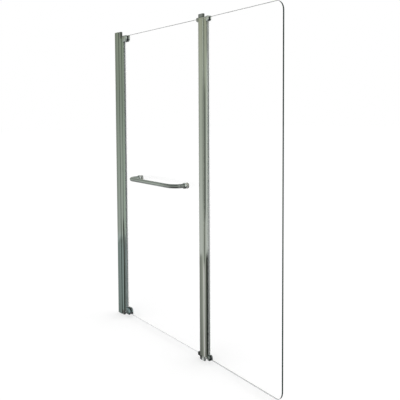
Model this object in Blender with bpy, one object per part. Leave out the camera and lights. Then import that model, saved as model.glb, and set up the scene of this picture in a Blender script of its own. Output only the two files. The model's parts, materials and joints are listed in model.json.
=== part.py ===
"""Shower screen for a bath: two glass leaves on two pivot posts, in metres, +Z up.

X runs from the wall to the free edge, the glass stands in the plane Y = 0, and -Y is
the side that carries the towel rail. The origin is the middle of the wall face.
"""

import math

import bmesh
import bpy
from mathutils import Vector
from mathutils.geometry import tessellate_polygon

# Driving sizes of the whole screen
WALL_POST_HEIGHT = 1.400
SCREEN_WIDTH = 1.200
FOLD_SHARE = 187 / 300
FOLD_AXIS_X = SCREEN_WIDTH * FOLD_SHARE
GLASS_THICKNESS = 0.006
GLASS_CORNER_RADIUS = 0.036
REST_FOLD_DEGREES = -1.5

# How far the posts stand past the glass
WALL_TOP_OVERHANG = 0.023
FOLD_TOP_OVERHANG = 0.017
BOTTOM_OVERHANG = 0.015

# Clearances
SEAT_GAP = 0.0003
SLIDE_GAP = 0.0002
RUN_GAP = 0.0001
CUT_OVERRUN = 0.001

# Smoothness of round forms, as counts of flats
TUBE_SIDES = 32
SMALL_SIDES = 20
CORNER_STEPS = 4
LOBE_STEPS = 10
CROWN_STEPS = 8
GROOVE_STEPS = 6
LIP_STEPS = 6
SHARP_ANGLE = 35

# Wall channel, a U section screwed to the wall
CHANNEL_DEPTH = 0.037
CHANNEL_WALL = 0.0018
CHANNEL_WEB = 0.002
CHANNEL_CORNER_RADIUS = 0.0012
WALL_HOLE_RADIUS = 0.00275
WALL_HOLE_COUNT = 4
WALL_HOLE_END_MARGIN = 0.090
INSERTION_DEPTH = 0.025

# Pivot tube, its bushes and its pins
TUBE_RADIUS = 0.008
TUBE_WALL_SHARE = 0.25
TUBE_WALL = TUBE_RADIUS * TUBE_WALL_SHARE
TUBE_BORE = TUBE_RADIUS - TUBE_WALL
GROOVE_GAP = 0.0005
GROOVE_RADIUS = TUBE_RADIUS + GROOVE_GAP
TUBE_END_DROP = 0.004
BUSH_FLANGE = 0.0008
BUSH_DEPTH = 0.0095
BUSH_WALL_SHARE = 0.4
BUSH_WALL = TUBE_BORE * BUSH_WALL_SHARE
PIN_SHARE = 0.5
PIN_RADIUS = TUBE_BORE * PIN_SHARE
PIN_HEAD_SHARE = 1.5
PIN_HEAD_RADIUS = PIN_RADIUS * PIN_HEAD_SHARE
PIN_HEAD_HEIGHT = 0.0015
PIN_TIP_SHARE = 0.25
PIN_HEAD_SHARES = (0.8, 0.6)
PIN_END_CLEARANCE = 0.001
SPIGOT_SHARE = 0.35
SPIGOT_RADIUS = TUBE_RADIUS * SPIGOT_SHARE

# Post section, measured from the pivot axis beside its nose and sized from the tube
POST_FRONT_PROUD = 0.003
POST_FRONT_Y = -TUBE_RADIUS - POST_FRONT_PROUD
POST_NOSE_LAP = 0.0017
POST_NOSE_X = POST_NOSE_LAP - TUBE_RADIUS
POST_NOSE_RADIUS = 0.003
POST_CROWN = 0.0007
POST_BACK_LIP_CLEAR = 0.0005
POST_BACK_LIP_X = -GROOVE_RADIUS - POST_BACK_LIP_CLEAR
POST_BACK_LIP_Y = 0.0005
POST_TAPER_LENGTH = 0.009
POST_WALL = 0.0016
SPIGOT_WALL_CLEAR = 0.0003
POST_BACK_Y = SPIGOT_RADIUS + SEAT_GAP + SPIGOT_WALL_CLEAR + POST_WALL
POST_NOSE_WEB = 0.0025
FOLD_POST_WIDTH = 0.033

# End caps
WALL_CAP_SKIRT = 0.009
FOLD_CAP_SKIRT = 0.003
CAP_RIM_RADIUS = 0.0015
CAP_PEG_DEPTH = 0.012
LOBE_THICKNESS = 0.005
LOBE_ROOT_CLEAR = 0.007
LOBE_ROOT_X = -TUBE_RADIUS - LOBE_ROOT_CLEAR
LOBE_RIM_RADIUS = 0.0008

# Where the leaves start beside the pivot tube
CLAMP_SHOULDER_CLEAR = 0.004
CLAMP_SHOULDER_X = TUBE_RADIUS + CLAMP_SHOULDER_CLEAR
GLASS_EDGE_CLEAR = 0.0055
GLASS_EDGE_X = TUBE_RADIUS + GLASS_EDGE_CLEAR
CLAMP_NECK_SHARE = 0.65
CLAMP_NECK_HALF = TUBE_RADIUS * CLAMP_NECK_SHARE

# Screwed clamps on the wall side pivot tube: lap over the glass, height and thickness
WALL_CLAMP_LAP = 0.0335
WALL_CLAMP_REACH = GLASS_EDGE_X + WALL_CLAMP_LAP
WALL_CLAMP_HEIGHT = 0.030
WALL_CLAMP_THICKNESS = 0.024
WALL_CLAMP_RISE = 0.0015
WALL_CLAMP_ROUND = 0.016
CLAMP_EDGE_RADIUS = 0.0015
CLAMP_TOP_RADIUS = 0.0025
CLAMP_TOE_RADIUS = 0.0025
SPIGOT_DROP = 0.0190
OUTER_SPIGOT_DROP = 0.0085
GASKET_THICKNESS = 0.0009
GASKET_GAP = 0.0002

# Clamp screw
SCREW_RADIUS = 0.0025
SCREW_HEAD_RADIUS = 0.005
SCREW_HEAD_HEIGHT = 0.0025
SCREW_BITE = 0.005
SCREW_GAP = 0.0003
KEY_RADIUS = 0.0017
KEY_DEPTH = 0.0016
KEY_SIDES = 6
GLASS_HOLE_RADIUS = 0.005

# One piece clamps that grip the glass with a grub screw: the leaves' edges beside the fold post
SLOT_CLAMP_RISE = 0.0045
SLOT_CLAMP_ROUND = 0.0085
OUTER_CLAMP_LAP = 0.012
OUTER_CLAMP_REACH = GLASS_EDGE_X + OUTER_CLAMP_LAP
OUTER_CLAMP_HEIGHT = 0.020
OUTER_CLAMP_THICKNESS = 0.018
FIXED_CLAMP_LENGTH = 0.016
FIXED_CLAMP_HEIGHT = 0.0175
FIXED_CLAMP_THICKNESS = 0.016
FIXED_GLASS_GAP = 0.004
SPIGOT_END_WALL = 0.00035
GRUB_RADIUS = 0.002
GRUB_HEAD_RADIUS = 0.003
GRUB_HEAD_HEIGHT = 0.0012

# Seals on the upright edges of the glass
SEAL_GRIP = 0.006
SEAL_WALL = 0.0009
SEAL_LIP_RADIUS = 0.0016
SEAL_END_GAP = 0.001

# Channel screws
ADJUSTER_RADIUS = 0.00175
ADJUSTER_HEAD_RADIUS = 0.0036
ADJUSTER_HEAD_HEIGHT = 0.0022
ADJUSTER_HEAD_SHARES = ((1.0, 0.0), (1.0, 0.5), (0.9, 0.8), (0.6, 1.0))
ADJUSTER_LENGTH = 0.009
ADJUSTER_COUNT = 3
ADJUSTER_END_MARGIN = 0.150
ADJUSTER_LIP_MARGIN = 0.011

# Towel rail, placed as shares of the inner leaf
RAIL_CENTRES_SHARE = 191 / 374
RAIL_CENTRES = FOLD_AXIS_X * RAIL_CENTRES_SHARE
RAIL_NEAR_SHARE = 437 / 1496
RAIL_NEAR_X = FOLD_AXIS_X * RAIL_NEAR_SHARE
RAIL_DROP = 0.001
RAIL_RADIUS = 0.009
RAIL_STAND_OFF = 0.062
RAIL_BEND_RADIUS = 0.042
RAIL_SIDES = 20
RAIL_BEND_STEPS = 10
RAIL_SOCKET_DEPTH = 0.004
RAIL_THREAD_DEPTH = 0.012
ROSETTE_RADIUS = 0.0125
ROSETTE_HEIGHT = 0.0085
ROSETTE_SHOULDER = 0.0025
ROSETTE_SHOULDER_SHARES = ((0.0, 1.0), (0.13, 0.5), (0.5, 0.13), (1.0, 0.0))
ROSETTE_SIDES = 28
BACK_CAP_HEIGHT = 0.006
BACK_CAP_SHARES = ((1.0, 0.0), (1.0, 0.4), (0.95, 0.68), (0.82, 0.88), (0.55, 0.98), (0.0, 1.0))
WASHER_RADIUS = 0.0118
WASHER_THICKNESS = 0.0008
STUD_RADIUS = 0.003
SLEEVE_WALL = 0.0016
SLEEVE_RADIUS = STUD_RADIUS + SLIDE_GAP + SLEEVE_WALL
RAIL_HOLE_RADIUS = SLEEVE_RADIUS + SLIDE_GAP

# Places that follow from the sizes above
GLASS_BOTTOM = BOTTOM_OVERHANG - WALL_POST_HEIGHT / 2
GLASS_TOP = WALL_POST_HEIGHT / 2 - WALL_TOP_OVERHANG
POST_BOTTOM = -WALL_POST_HEIGHT / 2
GLASS_HALF = GLASS_THICKNESS / 2
CHANNEL_FRONT_Y = POST_FRONT_Y - SLIDE_GAP - CHANNEL_WALL
CHANNEL_BACK_Y = POST_BACK_Y + SLIDE_GAP + CHANNEL_WALL
POST_SHOW = 0.020
WALL_AXIS_X = CHANNEL_DEPTH + POST_SHOW - POST_NOSE_X
WALL_POST_WIDTH = POST_SHOW + INSERTION_DEPTH
FOLD_POST_LEFT = POST_NOSE_X - FOLD_POST_WIDTH
WALL_POST_LEFT = POST_NOSE_X - WALL_POST_WIDTH
SLOT_HALF = GLASS_HALF + GASKET_THICKNESS + 2 * GASKET_GAP
LOBE_DROP = TUBE_END_DROP - BUSH_FLANGE - 2 * SLIDE_GAP
TUBE_TOP = GLASS_TOP - TUBE_END_DROP
TUBE_BOTTOM = GLASS_BOTTOM + TUBE_END_DROP
INNER_GLASS_END = FOLD_AXIS_X - WALL_AXIS_X + FOLD_POST_LEFT - FIXED_GLASS_GAP
OUTER_GLASS_END = SCREEN_WIDTH - FOLD_AXIS_X
ENDS = (("top", 1, GLASS_TOP), ("bottom", -1, GLASS_BOTTOM))


def arc(centre, radius, start, end, steps):
    """Points on a circle from the start angle to the end angle, in degrees."""
    points = []
    for step in range(steps + 1):
        angle = math.radians(start + (end - start) * step / steps)
        points.append((centre[0] + radius * math.cos(angle), centre[1] + radius * math.sin(angle)))
    return points


def rounded(corners, steps=CORNER_STEPS):
    """A closed outline from (x, y, radius) corners, with an arc at each corner that has a radius."""
    outline = []
    for index, (x, y, radius) in enumerate(corners):
        here = Vector((x, y))
        if radius == 0:
            outline.append((x, y))
            continue
        back = Vector(corners[index - 1][:2]) - here
        ahead = Vector(corners[(index + 1) % len(corners)][:2]) - here
        half = back.angle(ahead) / 2
        middle = here + (back.normalized() + ahead.normalized()).normalized() * radius / math.sin(half)
        foot = here + back.normalized() * radius / math.tan(half) - middle
        last = here + ahead.normalized() * radius / math.tan(half) - middle
        first_angle = math.atan2(foot.y, foot.x)
        turn = math.atan2(last.y, last.x) - first_angle
        turn = (turn + math.pi) % (2 * math.pi) - math.pi
        for step in range(steps + 1):
            angle = first_angle + turn * step / steps
            outline.append((middle.x + radius * math.cos(angle), middle.y + radius * math.sin(angle)))
    return outline


def circle(centre, radius, sides):
    """A regular polygon, turned a quarter side so that holes in a row never line up corner to corner."""
    first = 90 / sides
    return arc(centre, radius, first, first + 360 * (sides - 1) / sides, sides - 1)


def extrusion(loops, low, high, axis):
    """A bmesh of flat loops, one outline and its holes, drawn from low to high along an axis."""
    place = {
        "X": lambda u, v, w: (w, u, v),
        "Y": lambda u, v, w: (u, w, v),
        "Z": lambda u, v, w: (u, v, w),
    }[axis]
    bm = bmesh.new()
    rings = []
    for level in (low, high):
        rings.append([[bm.verts.new(place(u, v, level)) for u, v in loop] for loop in loops])
    for near, far in zip(*rings):
        for index in range(len(near)):
            bm.faces.new((near[index - 1], near[index], far[index], far[index - 1]))
    flat = [[Vector((u, v, 0)) for u, v in loop] for loop in loops]
    triangles = tessellate_polygon(flat)
    for ring in rings:
        points = [vert for loop in ring for vert in loop]
        if len(loops) == 1:
            bm.faces.new(points)
            continue
        for triangle in triangles:
            bm.faces.new([points[index] for index in triangle])
    bmesh.ops.recalc_face_normals(bm, faces=bm.faces)
    return bm


def drilled(centres, radius, low, high, axis):
    """One bmesh of several round prisms, to cut a row of holes."""
    whole = bmesh.new()
    for centre in centres:
        prism = extrusion([circle(centre, radius, SMALL_SIDES)], low, high, axis)
        mesh = bpy.data.meshes.new("prism")
        prism.to_mesh(mesh)
        prism.free()
        whole.from_mesh(mesh)
        bpy.data.meshes.remove(mesh)
    return whole


def turned(profile, axis, centre, sides):
    """A bmesh of a closed (radius, height) profile turned about a line through the centre."""
    bm = bmesh.new()
    rings = []
    for radius, height in profile:
        if radius == 0:
            rings.append([bm.verts.new((0, 0, height))])
            continue
        rings.append([bm.verts.new((x, y, height)) for x, y in circle((0, 0), radius, sides)])
    pairs = list(zip(rings, rings[1:] + rings[:1]))
    for near, far in pairs:
        if len(near) == 1 and len(far) == 1:
            continue
        for index in range(sides):
            corners = []
            corners += [near[0]] if len(near) == 1 else [near[index - 1], near[index]]
            corners += [far[0]] if len(far) == 1 else [far[index], far[index - 1]]
            bm.faces.new(corners)
    swap = {"X": (2, 0, 1), "Y": (0, 2, 1), "Z": (0, 1, 2)}[axis]
    for vert in bm.verts:
        vert.co = Vector([vert.co[place] for place in swap]) + Vector(centre)
    bmesh.ops.recalc_face_normals(bm, faces=bm.faces)
    return bm


def round_rim(bm, axis, levels, radius, segments=2):
    """Rounds the edges that lie in the end planes of an extrusion."""
    number = "XYZ".index(axis)
    edges = []
    for edge in bm.edges:
        for level in levels:
            if all(abs(vert.co[number] - level) < radius / 100 for vert in edge.verts):
                if edge.calc_face_angle(0) > math.radians(20):
                    edges.append(edge)
    bmesh.ops.bevel(
        bm, geom=edges, offset=radius, segments=segments, profile=0.5, affect="EDGES", clamp_overlap=True
    )
    return bm


def material(name, colour, roughness, metallic, alpha=1.0):
    made = bpy.data.materials.new(name)
    made.use_nodes = True
    shader = made.node_tree.nodes["Principled BSDF"]
    shader.inputs["Base Color"].default_value = (*colour, 1.0)
    shader.inputs["Roughness"].default_value = roughness
    shader.inputs["Metallic"].default_value = metallic
    shader.inputs["Alpha"].default_value = alpha
    made.diffuse_color = (*colour, alpha)
    return made


def add_object(name, bm, finish, parent):
    mesh = bpy.data.meshes.new(name)
    bm.to_mesh(mesh)
    bm.free()
    mesh.shade_smooth()
    mesh.set_sharp_from_angle(angle=math.radians(SHARP_ANGLE))
    obj = bpy.data.objects.new(name, mesh)
    bpy.context.scene.collection.objects.link(obj)
    if finish:
        mesh.materials.append(finish)
    obj.parent = parent
    return obj


def add_tool(name, bm, parent):
    """A hidden operand for a Boolean."""
    obj = add_object(name, bm, None, parent)
    obj.hide_render = True
    obj.display_type = "WIRE"
    return obj


def apply_tool(obj, operation, name, bm):
    change = obj.modifiers.new(name, "BOOLEAN")
    change.operation = operation
    change.solver = "EXACT"
    change.object = add_tool(f"{obj.name}_{name}", bm, obj.parent)


def add_empty(name, location, parent=None):
    empty = bpy.data.objects.new(name, None)
    empty.location = location
    empty.parent = parent
    bpy.context.scene.collection.objects.link(empty)
    return empty


def spread(low, high, count):
    """Evenly spaced places from low to high."""
    return [low + (high - low) * index / (count - 1) for index in range(count)]


def post_outline(left):
    """The post's section about the pivot axis: crowned front, nose, groove and tapered back."""
    half_run = (POST_NOSE_X - left) / 2 - POST_NOSE_RADIUS
    crown_radius = (half_run**2 + POST_CROWN**2) / (2 * POST_CROWN)
    half_angle = math.degrees(math.asin(half_run / crown_radius))
    crown_centre = ((left + POST_NOSE_X) / 2, POST_FRONT_Y + crown_radius)
    crown = arc(crown_centre, crown_radius, 270 - half_angle, 270 + half_angle, CROWN_STEPS)
    corner_y = POST_FRONT_Y + POST_CROWN + POST_NOSE_RADIUS
    left_corner = arc((left + POST_NOSE_RADIUS, corner_y), POST_NOSE_RADIUS, 180, 270, CORNER_STEPS)
    nose_corner = arc((POST_NOSE_X - POST_NOSE_RADIUS, corner_y), POST_NOSE_RADIUS, 270, 360, CORNER_STEPS)
    front_angle = 180 + math.degrees(math.acos(-POST_NOSE_X / GROOVE_RADIUS))
    groove = arc((0, 0), GROOVE_RADIUS, front_angle, 180, GROOVE_STEPS)
    back = [
        (POST_BACK_LIP_X, POST_BACK_LIP_Y),
        (POST_BACK_LIP_X - POST_TAPER_LENGTH, POST_BACK_Y),
        (left, POST_BACK_Y),
    ]
    return left_corner + crown[1:-1] + nose_corner + groove + back


def post_cavity(left, inset):
    """The hollow of the section, drawn in by a wall or by a wall and a clearance."""
    rise = POST_BACK_Y - POST_BACK_LIP_Y
    slant = math.hypot(POST_TAPER_LENGTH, rise)
    right = -GROOVE_RADIUS - POST_NOSE_WEB - (inset - POST_WALL)
    drop = inset * slant / POST_TAPER_LENGTH
    low_back = POST_BACK_LIP_Y - drop + rise * (POST_BACK_LIP_X - right) / POST_TAPER_LENGTH
    turn_x = POST_BACK_LIP_X - POST_TAPER_LENGTH * (POST_BACK_Y - inset + drop - POST_BACK_LIP_Y) / rise
    return [
        (left + inset, POST_FRONT_Y + POST_CROWN + inset),
        (right, POST_FRONT_Y + POST_CROWN + inset),
        (right, low_back),
        (turn_x, POST_BACK_Y - inset),
        (left + inset, POST_BACK_Y - inset),
    ]


def add_channel(finish):
    """The U section on the wall, with screw holes in its web and in its back side."""
    back = CHANNEL_BACK_Y
    front = CHANNEL_FRONT_Y
    lip = CHANNEL_WALL / 2 - SLIDE_GAP
    outline = rounded(
        [
            (0, front, CHANNEL_CORNER_RADIUS),
            (CHANNEL_DEPTH, front, lip),
            (CHANNEL_DEPTH, front + CHANNEL_WALL, lip),
            (CHANNEL_WEB, front + CHANNEL_WALL, 0),
            (CHANNEL_WEB, back - CHANNEL_WALL, 0),
            (CHANNEL_DEPTH, back - CHANNEL_WALL, lip),
            (CHANNEL_DEPTH, back, lip),
            (0, back, CHANNEL_CORNER_RADIUS),
        ]
    )
    channel = add_object(
        "wall_channel", extrusion([outline], POST_BOTTOM, -POST_BOTTOM, "Z"), finish, None
    )
    middle = (front + back) / 2
    wall_holes = [(middle, z) for z in wall_hole_heights()]
    low, high = -CUT_OVERRUN, CHANNEL_WEB + CUT_OVERRUN
    apply_tool(channel, "DIFFERENCE", "wall_holes", drilled(wall_holes, WALL_HOLE_RADIUS, low, high, "X"))
    screw_holes = [(adjuster_x(), z) for z in adjuster_heights()]
    radius = ADJUSTER_RADIUS + SCREW_GAP
    low, high = back - CHANNEL_WALL - CUT_OVERRUN, back + CUT_OVERRUN
    apply_tool(channel, "DIFFERENCE", "screw_holes", drilled(screw_holes, radius, low, high, "Y"))


def wall_hole_heights():
    reach = WALL_POST_HEIGHT / 2 - WALL_HOLE_END_MARGIN
    return spread(-reach, reach, WALL_HOLE_COUNT)


def adjuster_heights():
    reach = WALL_POST_HEIGHT / 2 - ADJUSTER_END_MARGIN
    return spread(-reach, reach, ADJUSTER_COUNT)


def adjuster_x():
    return CHANNEL_DEPTH - ADJUSTER_LIP_MARGIN


def add_adjusters(finish):
    """The pan head screws that hold the wall post at its depth in the channel."""
    seat = CHANNEL_BACK_Y + SEAT_GAP
    for number, z in enumerate(adjuster_heights(), 1):
        profile = [
            (0, seat - ADJUSTER_LENGTH),
            (ADJUSTER_RADIUS, seat - ADJUSTER_LENGTH),
            (ADJUSTER_RADIUS, seat),
        ]
        for across, up in ADJUSTER_HEAD_SHARES:
            profile.append((ADJUSTER_HEAD_RADIUS * across, seat + ADJUSTER_HEAD_HEIGHT * up))
        profile.append((0, seat + ADJUSTER_HEAD_HEIGHT))
        body = turned(profile, "Y", (adjuster_x(), 0, z), SMALL_SIDES)
        screw = add_object(f"channel_screw_{number}", body, finish, None)
        key = extrusion(
            [circle((adjuster_x(), z), KEY_RADIUS, KEY_SIDES)],
            seat + ADJUSTER_HEAD_HEIGHT - KEY_DEPTH,
            seat + ADJUSTER_HEAD_HEIGHT + CUT_OVERRUN,
            "Y",
        )
        apply_tool(screw, "DIFFERENCE", "key", key)


def add_post(name, left, low, high, finish, parent):
    """A hollow post between its two end caps."""
    body = extrusion([post_outline(left), post_cavity(left, POST_WALL)], low, high, "Z")
    return add_object(name, body, finish, parent)


def add_cap(name, left, sign, reference, overhang, skirt, finish, parent):
    """An end cap: a block on the post, a peg in its hollow, and a lobe that holds the pivot pin."""
    outer = reference + sign * overhang
    inner = reference - sign * skirt
    block = round_rim(extrusion([post_outline(left)], inner, outer, "Z"), "Z", [outer], CAP_RIM_RADIUS)
    cap = add_object(name, block, finish, parent)
    peg = extrusion(
        [post_cavity(left, POST_WALL + SEAT_GAP)],
        inner - sign * CAP_PEG_DEPTH,
        inner + sign * CUT_OVERRUN,
        "Z",
    )
    apply_tool(cap, "UNION", "peg", peg)
    face = reference - sign * LOBE_DROP
    top = face + sign * LOBE_THICKNESS
    back = POST_BACK_LIP_Y - LOBE_RIM_RADIUS
    lobe = arc((0, 0), TUBE_RADIUS, -90, 90, LOBE_STEPS)
    lobe += [(POST_BACK_LIP_X, back), (LOBE_ROOT_X, back), (LOBE_ROOT_X, -TUBE_RADIUS)]
    lobe = round_rim(extrusion([lobe], face, top, "Z"), "Z", [top], LOBE_RIM_RADIUS)
    apply_tool(cap, "UNION", "lobe", lobe)
    hole = extrusion(
        [circle((0, 0), PIN_RADIUS + SLIDE_GAP, SMALL_SIDES)],
        face - sign * CUT_OVERRUN,
        top + sign * CUT_OVERRUN,
        "Z",
    )
    apply_tool(cap, "DIFFERENCE", "pin_hole", hole)
    return cap


def add_pivot(prefix, spigot_drop, finishes, parent):
    """The pivot tube that carries a leaf, with a bush in each end and the two pins it turns on."""
    tube = add_object(
        f"{prefix}_pivot_tube",
        extrusion(
            [circle((0, 0), TUBE_RADIUS, TUBE_SIDES), circle((0, 0), TUBE_BORE, TUBE_SIDES)],
            TUBE_BOTTOM,
            TUBE_TOP,
            "Z",
        ),
        finishes["bright"],
        parent,
    )
    for end, sign, reference in ENDS:
        z = reference - sign * spigot_drop
        hole = extrusion(
            [circle((0, z), SPIGOT_RADIUS + SEAT_GAP, SMALL_SIDES)], 0, TUBE_RADIUS + CUT_OVERRUN, "X"
        )
        apply_tool(tube, "DIFFERENCE", f"{end}_spigot_hole", hole)
        seat = reference - sign * (TUBE_END_DROP - SLIDE_GAP)
        outer = TUBE_BORE - SLIDE_GAP
        inner = PIN_RADIUS + RUN_GAP
        profile = [
            (inner, seat - sign * BUSH_DEPTH),
            (outer, seat - sign * BUSH_DEPTH),
            (outer, seat),
            (TUBE_RADIUS - SLIDE_GAP, seat),
            (TUBE_RADIUS - SLIDE_GAP, seat + sign * BUSH_FLANGE),
            (inner, seat + sign * BUSH_FLANGE),
        ]
        bush = turned(profile, "Z", (0, 0, 0), TUBE_SIDES)
        add_object(f"{prefix}_pivot_bush_{end}", bush, finishes["nylon"], parent)


def add_pin(name, sign, reference, finish, parent):
    """The pin that hangs from a cap's lobe into the bush below it."""
    lobe_top = reference - sign * LOBE_DROP + sign * LOBE_THICKNESS
    under_head = lobe_top + sign * SEAT_GAP
    tip = reference - sign * (TUBE_END_DROP - SLIDE_GAP + BUSH_DEPTH - PIN_END_CLEARANCE)
    profile = [
        (0, tip),
        (PIN_RADIUS * (1 - PIN_TIP_SHARE), tip),
        (PIN_RADIUS, tip + sign * PIN_RADIUS * PIN_TIP_SHARE),
        (PIN_RADIUS, under_head),
        (PIN_HEAD_RADIUS, under_head),
        (PIN_HEAD_RADIUS, under_head + sign * PIN_HEAD_HEIGHT * PIN_HEAD_SHARES[1]),
        (PIN_HEAD_RADIUS * PIN_HEAD_SHARES[0], under_head + sign * PIN_HEAD_HEIGHT),
        (0, under_head + sign * PIN_HEAD_HEIGHT),
    ]
    add_object(name, turned(profile, "Z", (0, 0, 0), SMALL_SIDES), finish, parent)


def clamp_outline(start, reach, height, rise, bold, inset=0.0):
    """A clamp's side view about the glass corner: flat outer edge, one bold round inside."""
    flat = rise - inset
    deep = rise - height + inset
    corners = [
        (start + inset, flat, 0),
        (start + inset, deep, CLAMP_TOE_RADIUS),
        (reach - inset, deep, bold),
        (reach - inset, flat, CLAMP_TOP_RADIUS),
    ]
    return rounded(corners, LOBE_STEPS // 2)


def placed(outline, side, sign, reference):
    """An outline mirrored to its side of the pivot line and moved to its end of the glass."""
    return [(side * x, reference + sign * z) for x, z in outline]


def block(low_x, high_x, low_z, high_z):
    return [(low_x, low_z), (high_x, low_z), (high_x, high_z), (low_x, high_z)]


def wall_screw_place():
    return WALL_CLAMP_REACH - WALL_CLAMP_HEIGHT / 2, WALL_CLAMP_RISE - WALL_CLAMP_HEIGHT / 2


def add_neck(body, deep, spigot_drop, end_of):
    """A clamp's root on the pivot tube: a neck, a saddle against the tube and a spigot in its hole."""
    side, sign, reference = end_of
    neck = block(0, CLAMP_SHOULDER_X + CUT_OVERRUN, deep + CLAMP_TOE_RADIUS, -TUBE_END_DROP - SLIDE_GAP)
    neck = placed(neck, side, sign, reference)
    apply_tool(body, "UNION", "neck", extrusion([neck], -CLAMP_NECK_HALF, CLAMP_NECK_HALF, "Y"))
    column = circle((0, 0), TUBE_RADIUS + SEAT_GAP, TUBE_SIDES)
    low, high = sorted((reference + sign * CUT_OVERRUN, reference + sign * (deep - CUT_OVERRUN)))
    apply_tool(body, "DIFFERENCE", "saddle", extrusion([column], low, high, "Z"))
    pin = circle((0, reference - sign * spigot_drop), SPIGOT_RADIUS, SMALL_SIDES)
    spigot = extrusion([pin], TUBE_BORE + SLIDE_GAP, TUBE_RADIUS + CLAMP_TOE_RADIUS, "X")
    apply_tool(body, "UNION", "spigot", spigot)


def add_wall_clamp(end, sign, reference, finishes, parent):
    """A two part clamp on the pivot tube: body with neck and front jaw, back plate, gasket and screw."""
    half = WALL_CLAMP_THICKNESS / 2
    reach = WALL_CLAMP_REACH
    far = reach + CUT_OVERRUN
    deep = WALL_CLAMP_RISE - WALL_CLAMP_HEIGHT
    slot_x = GLASS_EDGE_X - GASKET_THICKNESS - 2 * GASKET_GAP
    outline = placed(
        clamp_outline(CLAMP_SHOULDER_X, reach, WALL_CLAMP_HEIGHT, WALL_CLAMP_RISE, WALL_CLAMP_ROUND),
        1, sign, reference,
    )
    body_mesh = round_rim(extrusion([outline], -half, half, "Y"), "Y", [-half, half], CLAMP_EDGE_RADIUS)
    body = add_object(f"inner_clamp_{end}", body_mesh, finishes["chrome"], parent)
    add_neck(body, deep, SPIGOT_DROP, (1, sign, reference))
    opening = placed(
        block(slot_x, far, deep - CUT_OVERRUN, WALL_CLAMP_RISE + CUT_OVERRUN), 1, sign, reference
    )
    apply_tool(body, "DIFFERENCE", "slot", extrusion([opening], -SLOT_HALF, half + CUT_OVERRUN, "Y"))
    screw_x, screw_z = wall_screw_place()
    screw = (screw_x, reference + sign * screw_z)
    socket = extrusion(
        [circle(screw, SCREW_RADIUS + SCREW_GAP, SMALL_SIDES)],
        -SLOT_HALF - SCREW_BITE - SCREW_GAP,
        -SLOT_HALF + CUT_OVERRUN,
        "Y",
    )
    apply_tool(body, "DIFFERENCE", "screw_socket", socket)

    plate_mesh = round_rim(extrusion([outline], SLOT_HALF, half, "Y"), "Y", [half], CLAMP_EDGE_RADIUS)
    plate = add_object(f"inner_clamp_plate_{end}", plate_mesh, finishes["chrome"], parent)
    root = placed(
        block(0, slot_x + SEAT_GAP, deep - CUT_OVERRUN, WALL_CLAMP_RISE + CUT_OVERRUN), 1, sign, reference
    )
    apply_tool(plate, "DIFFERENCE", "root", extrusion([root], 0, half + CUT_OVERRUN, "Y"))
    head_y = half - SCREW_HEAD_HEIGHT
    sink = [
        (0, SLOT_HALF - CUT_OVERRUN),
        (SCREW_RADIUS + SCREW_GAP, SLOT_HALF - CUT_OVERRUN),
        (SCREW_RADIUS + SCREW_GAP, head_y - SCREW_GAP),
        (SCREW_HEAD_RADIUS + SCREW_GAP, half - SCREW_GAP),
        (SCREW_HEAD_RADIUS + SCREW_GAP, half + CUT_OVERRUN),
        (0, half + CUT_OVERRUN),
    ]
    apply_tool(
        plate, "DIFFERENCE", "countersink", turned(sink, "Y", (screw[0], 0, screw[1]), SMALL_SIDES)
    )
    shape = (slot_x + GASKET_GAP, reach, WALL_CLAMP_HEIGHT, WALL_CLAMP_RISE, WALL_CLAMP_ROUND)
    sheet = clamp_outline(*shape, CLAMP_EDGE_RADIUS / 2)
    gasket = add_gasket(f"inner_clamp_gasket_{end}", sheet, slot_x, (1, sign, reference), finishes, parent)
    hole = extrusion(
        [circle(screw, SCREW_RADIUS + SCREW_GAP, SMALL_SIDES)], -SLOT_HALF, SLOT_HALF, "Y"
    )
    apply_tool(gasket, "DIFFERENCE", "screw_hole", hole)
    add_clamp_screw(end, half, screw, finishes["steel"], parent)


def add_gasket(name, sheet, slot_x, end_of, finishes, parent):
    """The folded gasket between a clamp and both faces of the glass."""
    side, sign, reference = end_of
    half = GLASS_HALF + GASKET_GAP + GASKET_THICKNESS
    start = slot_x + GASKET_GAP
    outline = placed([(max(x, start), min(z, -GASKET_GAP)) for x, z in sheet], side, sign, reference)
    gasket = add_object(name, extrusion([outline], -half, half, "Y"), finishes["rubber"], parent)
    far = max(x for x, z in sheet) + CUT_OVERRUN
    low = min(z for x, z in sheet) - CUT_OVERRUN
    space = placed(block(start + GASKET_THICKNESS, far, low, CUT_OVERRUN), side, sign, reference)
    thin = half - GASKET_THICKNESS
    apply_tool(gasket, "DIFFERENCE", "glass_space", extrusion([space], -thin, thin, "Y"))
    return gasket


def add_clamp_screw(end, half, place, finish, parent):
    """A countersunk screw from the back plate, through the glass, into the front jaw."""
    tip = -SLOT_HALF - SCREW_BITE
    profile = [
        (0, tip),
        (SCREW_RADIUS, tip),
        (SCREW_RADIUS, half - SCREW_HEAD_HEIGHT),
        (SCREW_HEAD_RADIUS, half - SCREW_GAP),
        (0, half - SCREW_GAP),
    ]
    centre = (place[0], 0, place[1])
    screw = add_object(
        f"inner_clamp_screw_{end}", turned(profile, "Y", centre, SMALL_SIDES), finish, parent
    )
    low, high = half - SCREW_GAP - KEY_DEPTH, half + CUT_OVERRUN
    key = extrusion([circle(place, KEY_RADIUS, KEY_SIDES)], low, high, "Y")
    apply_tool(screw, "DIFFERENCE", "key", key)


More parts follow.
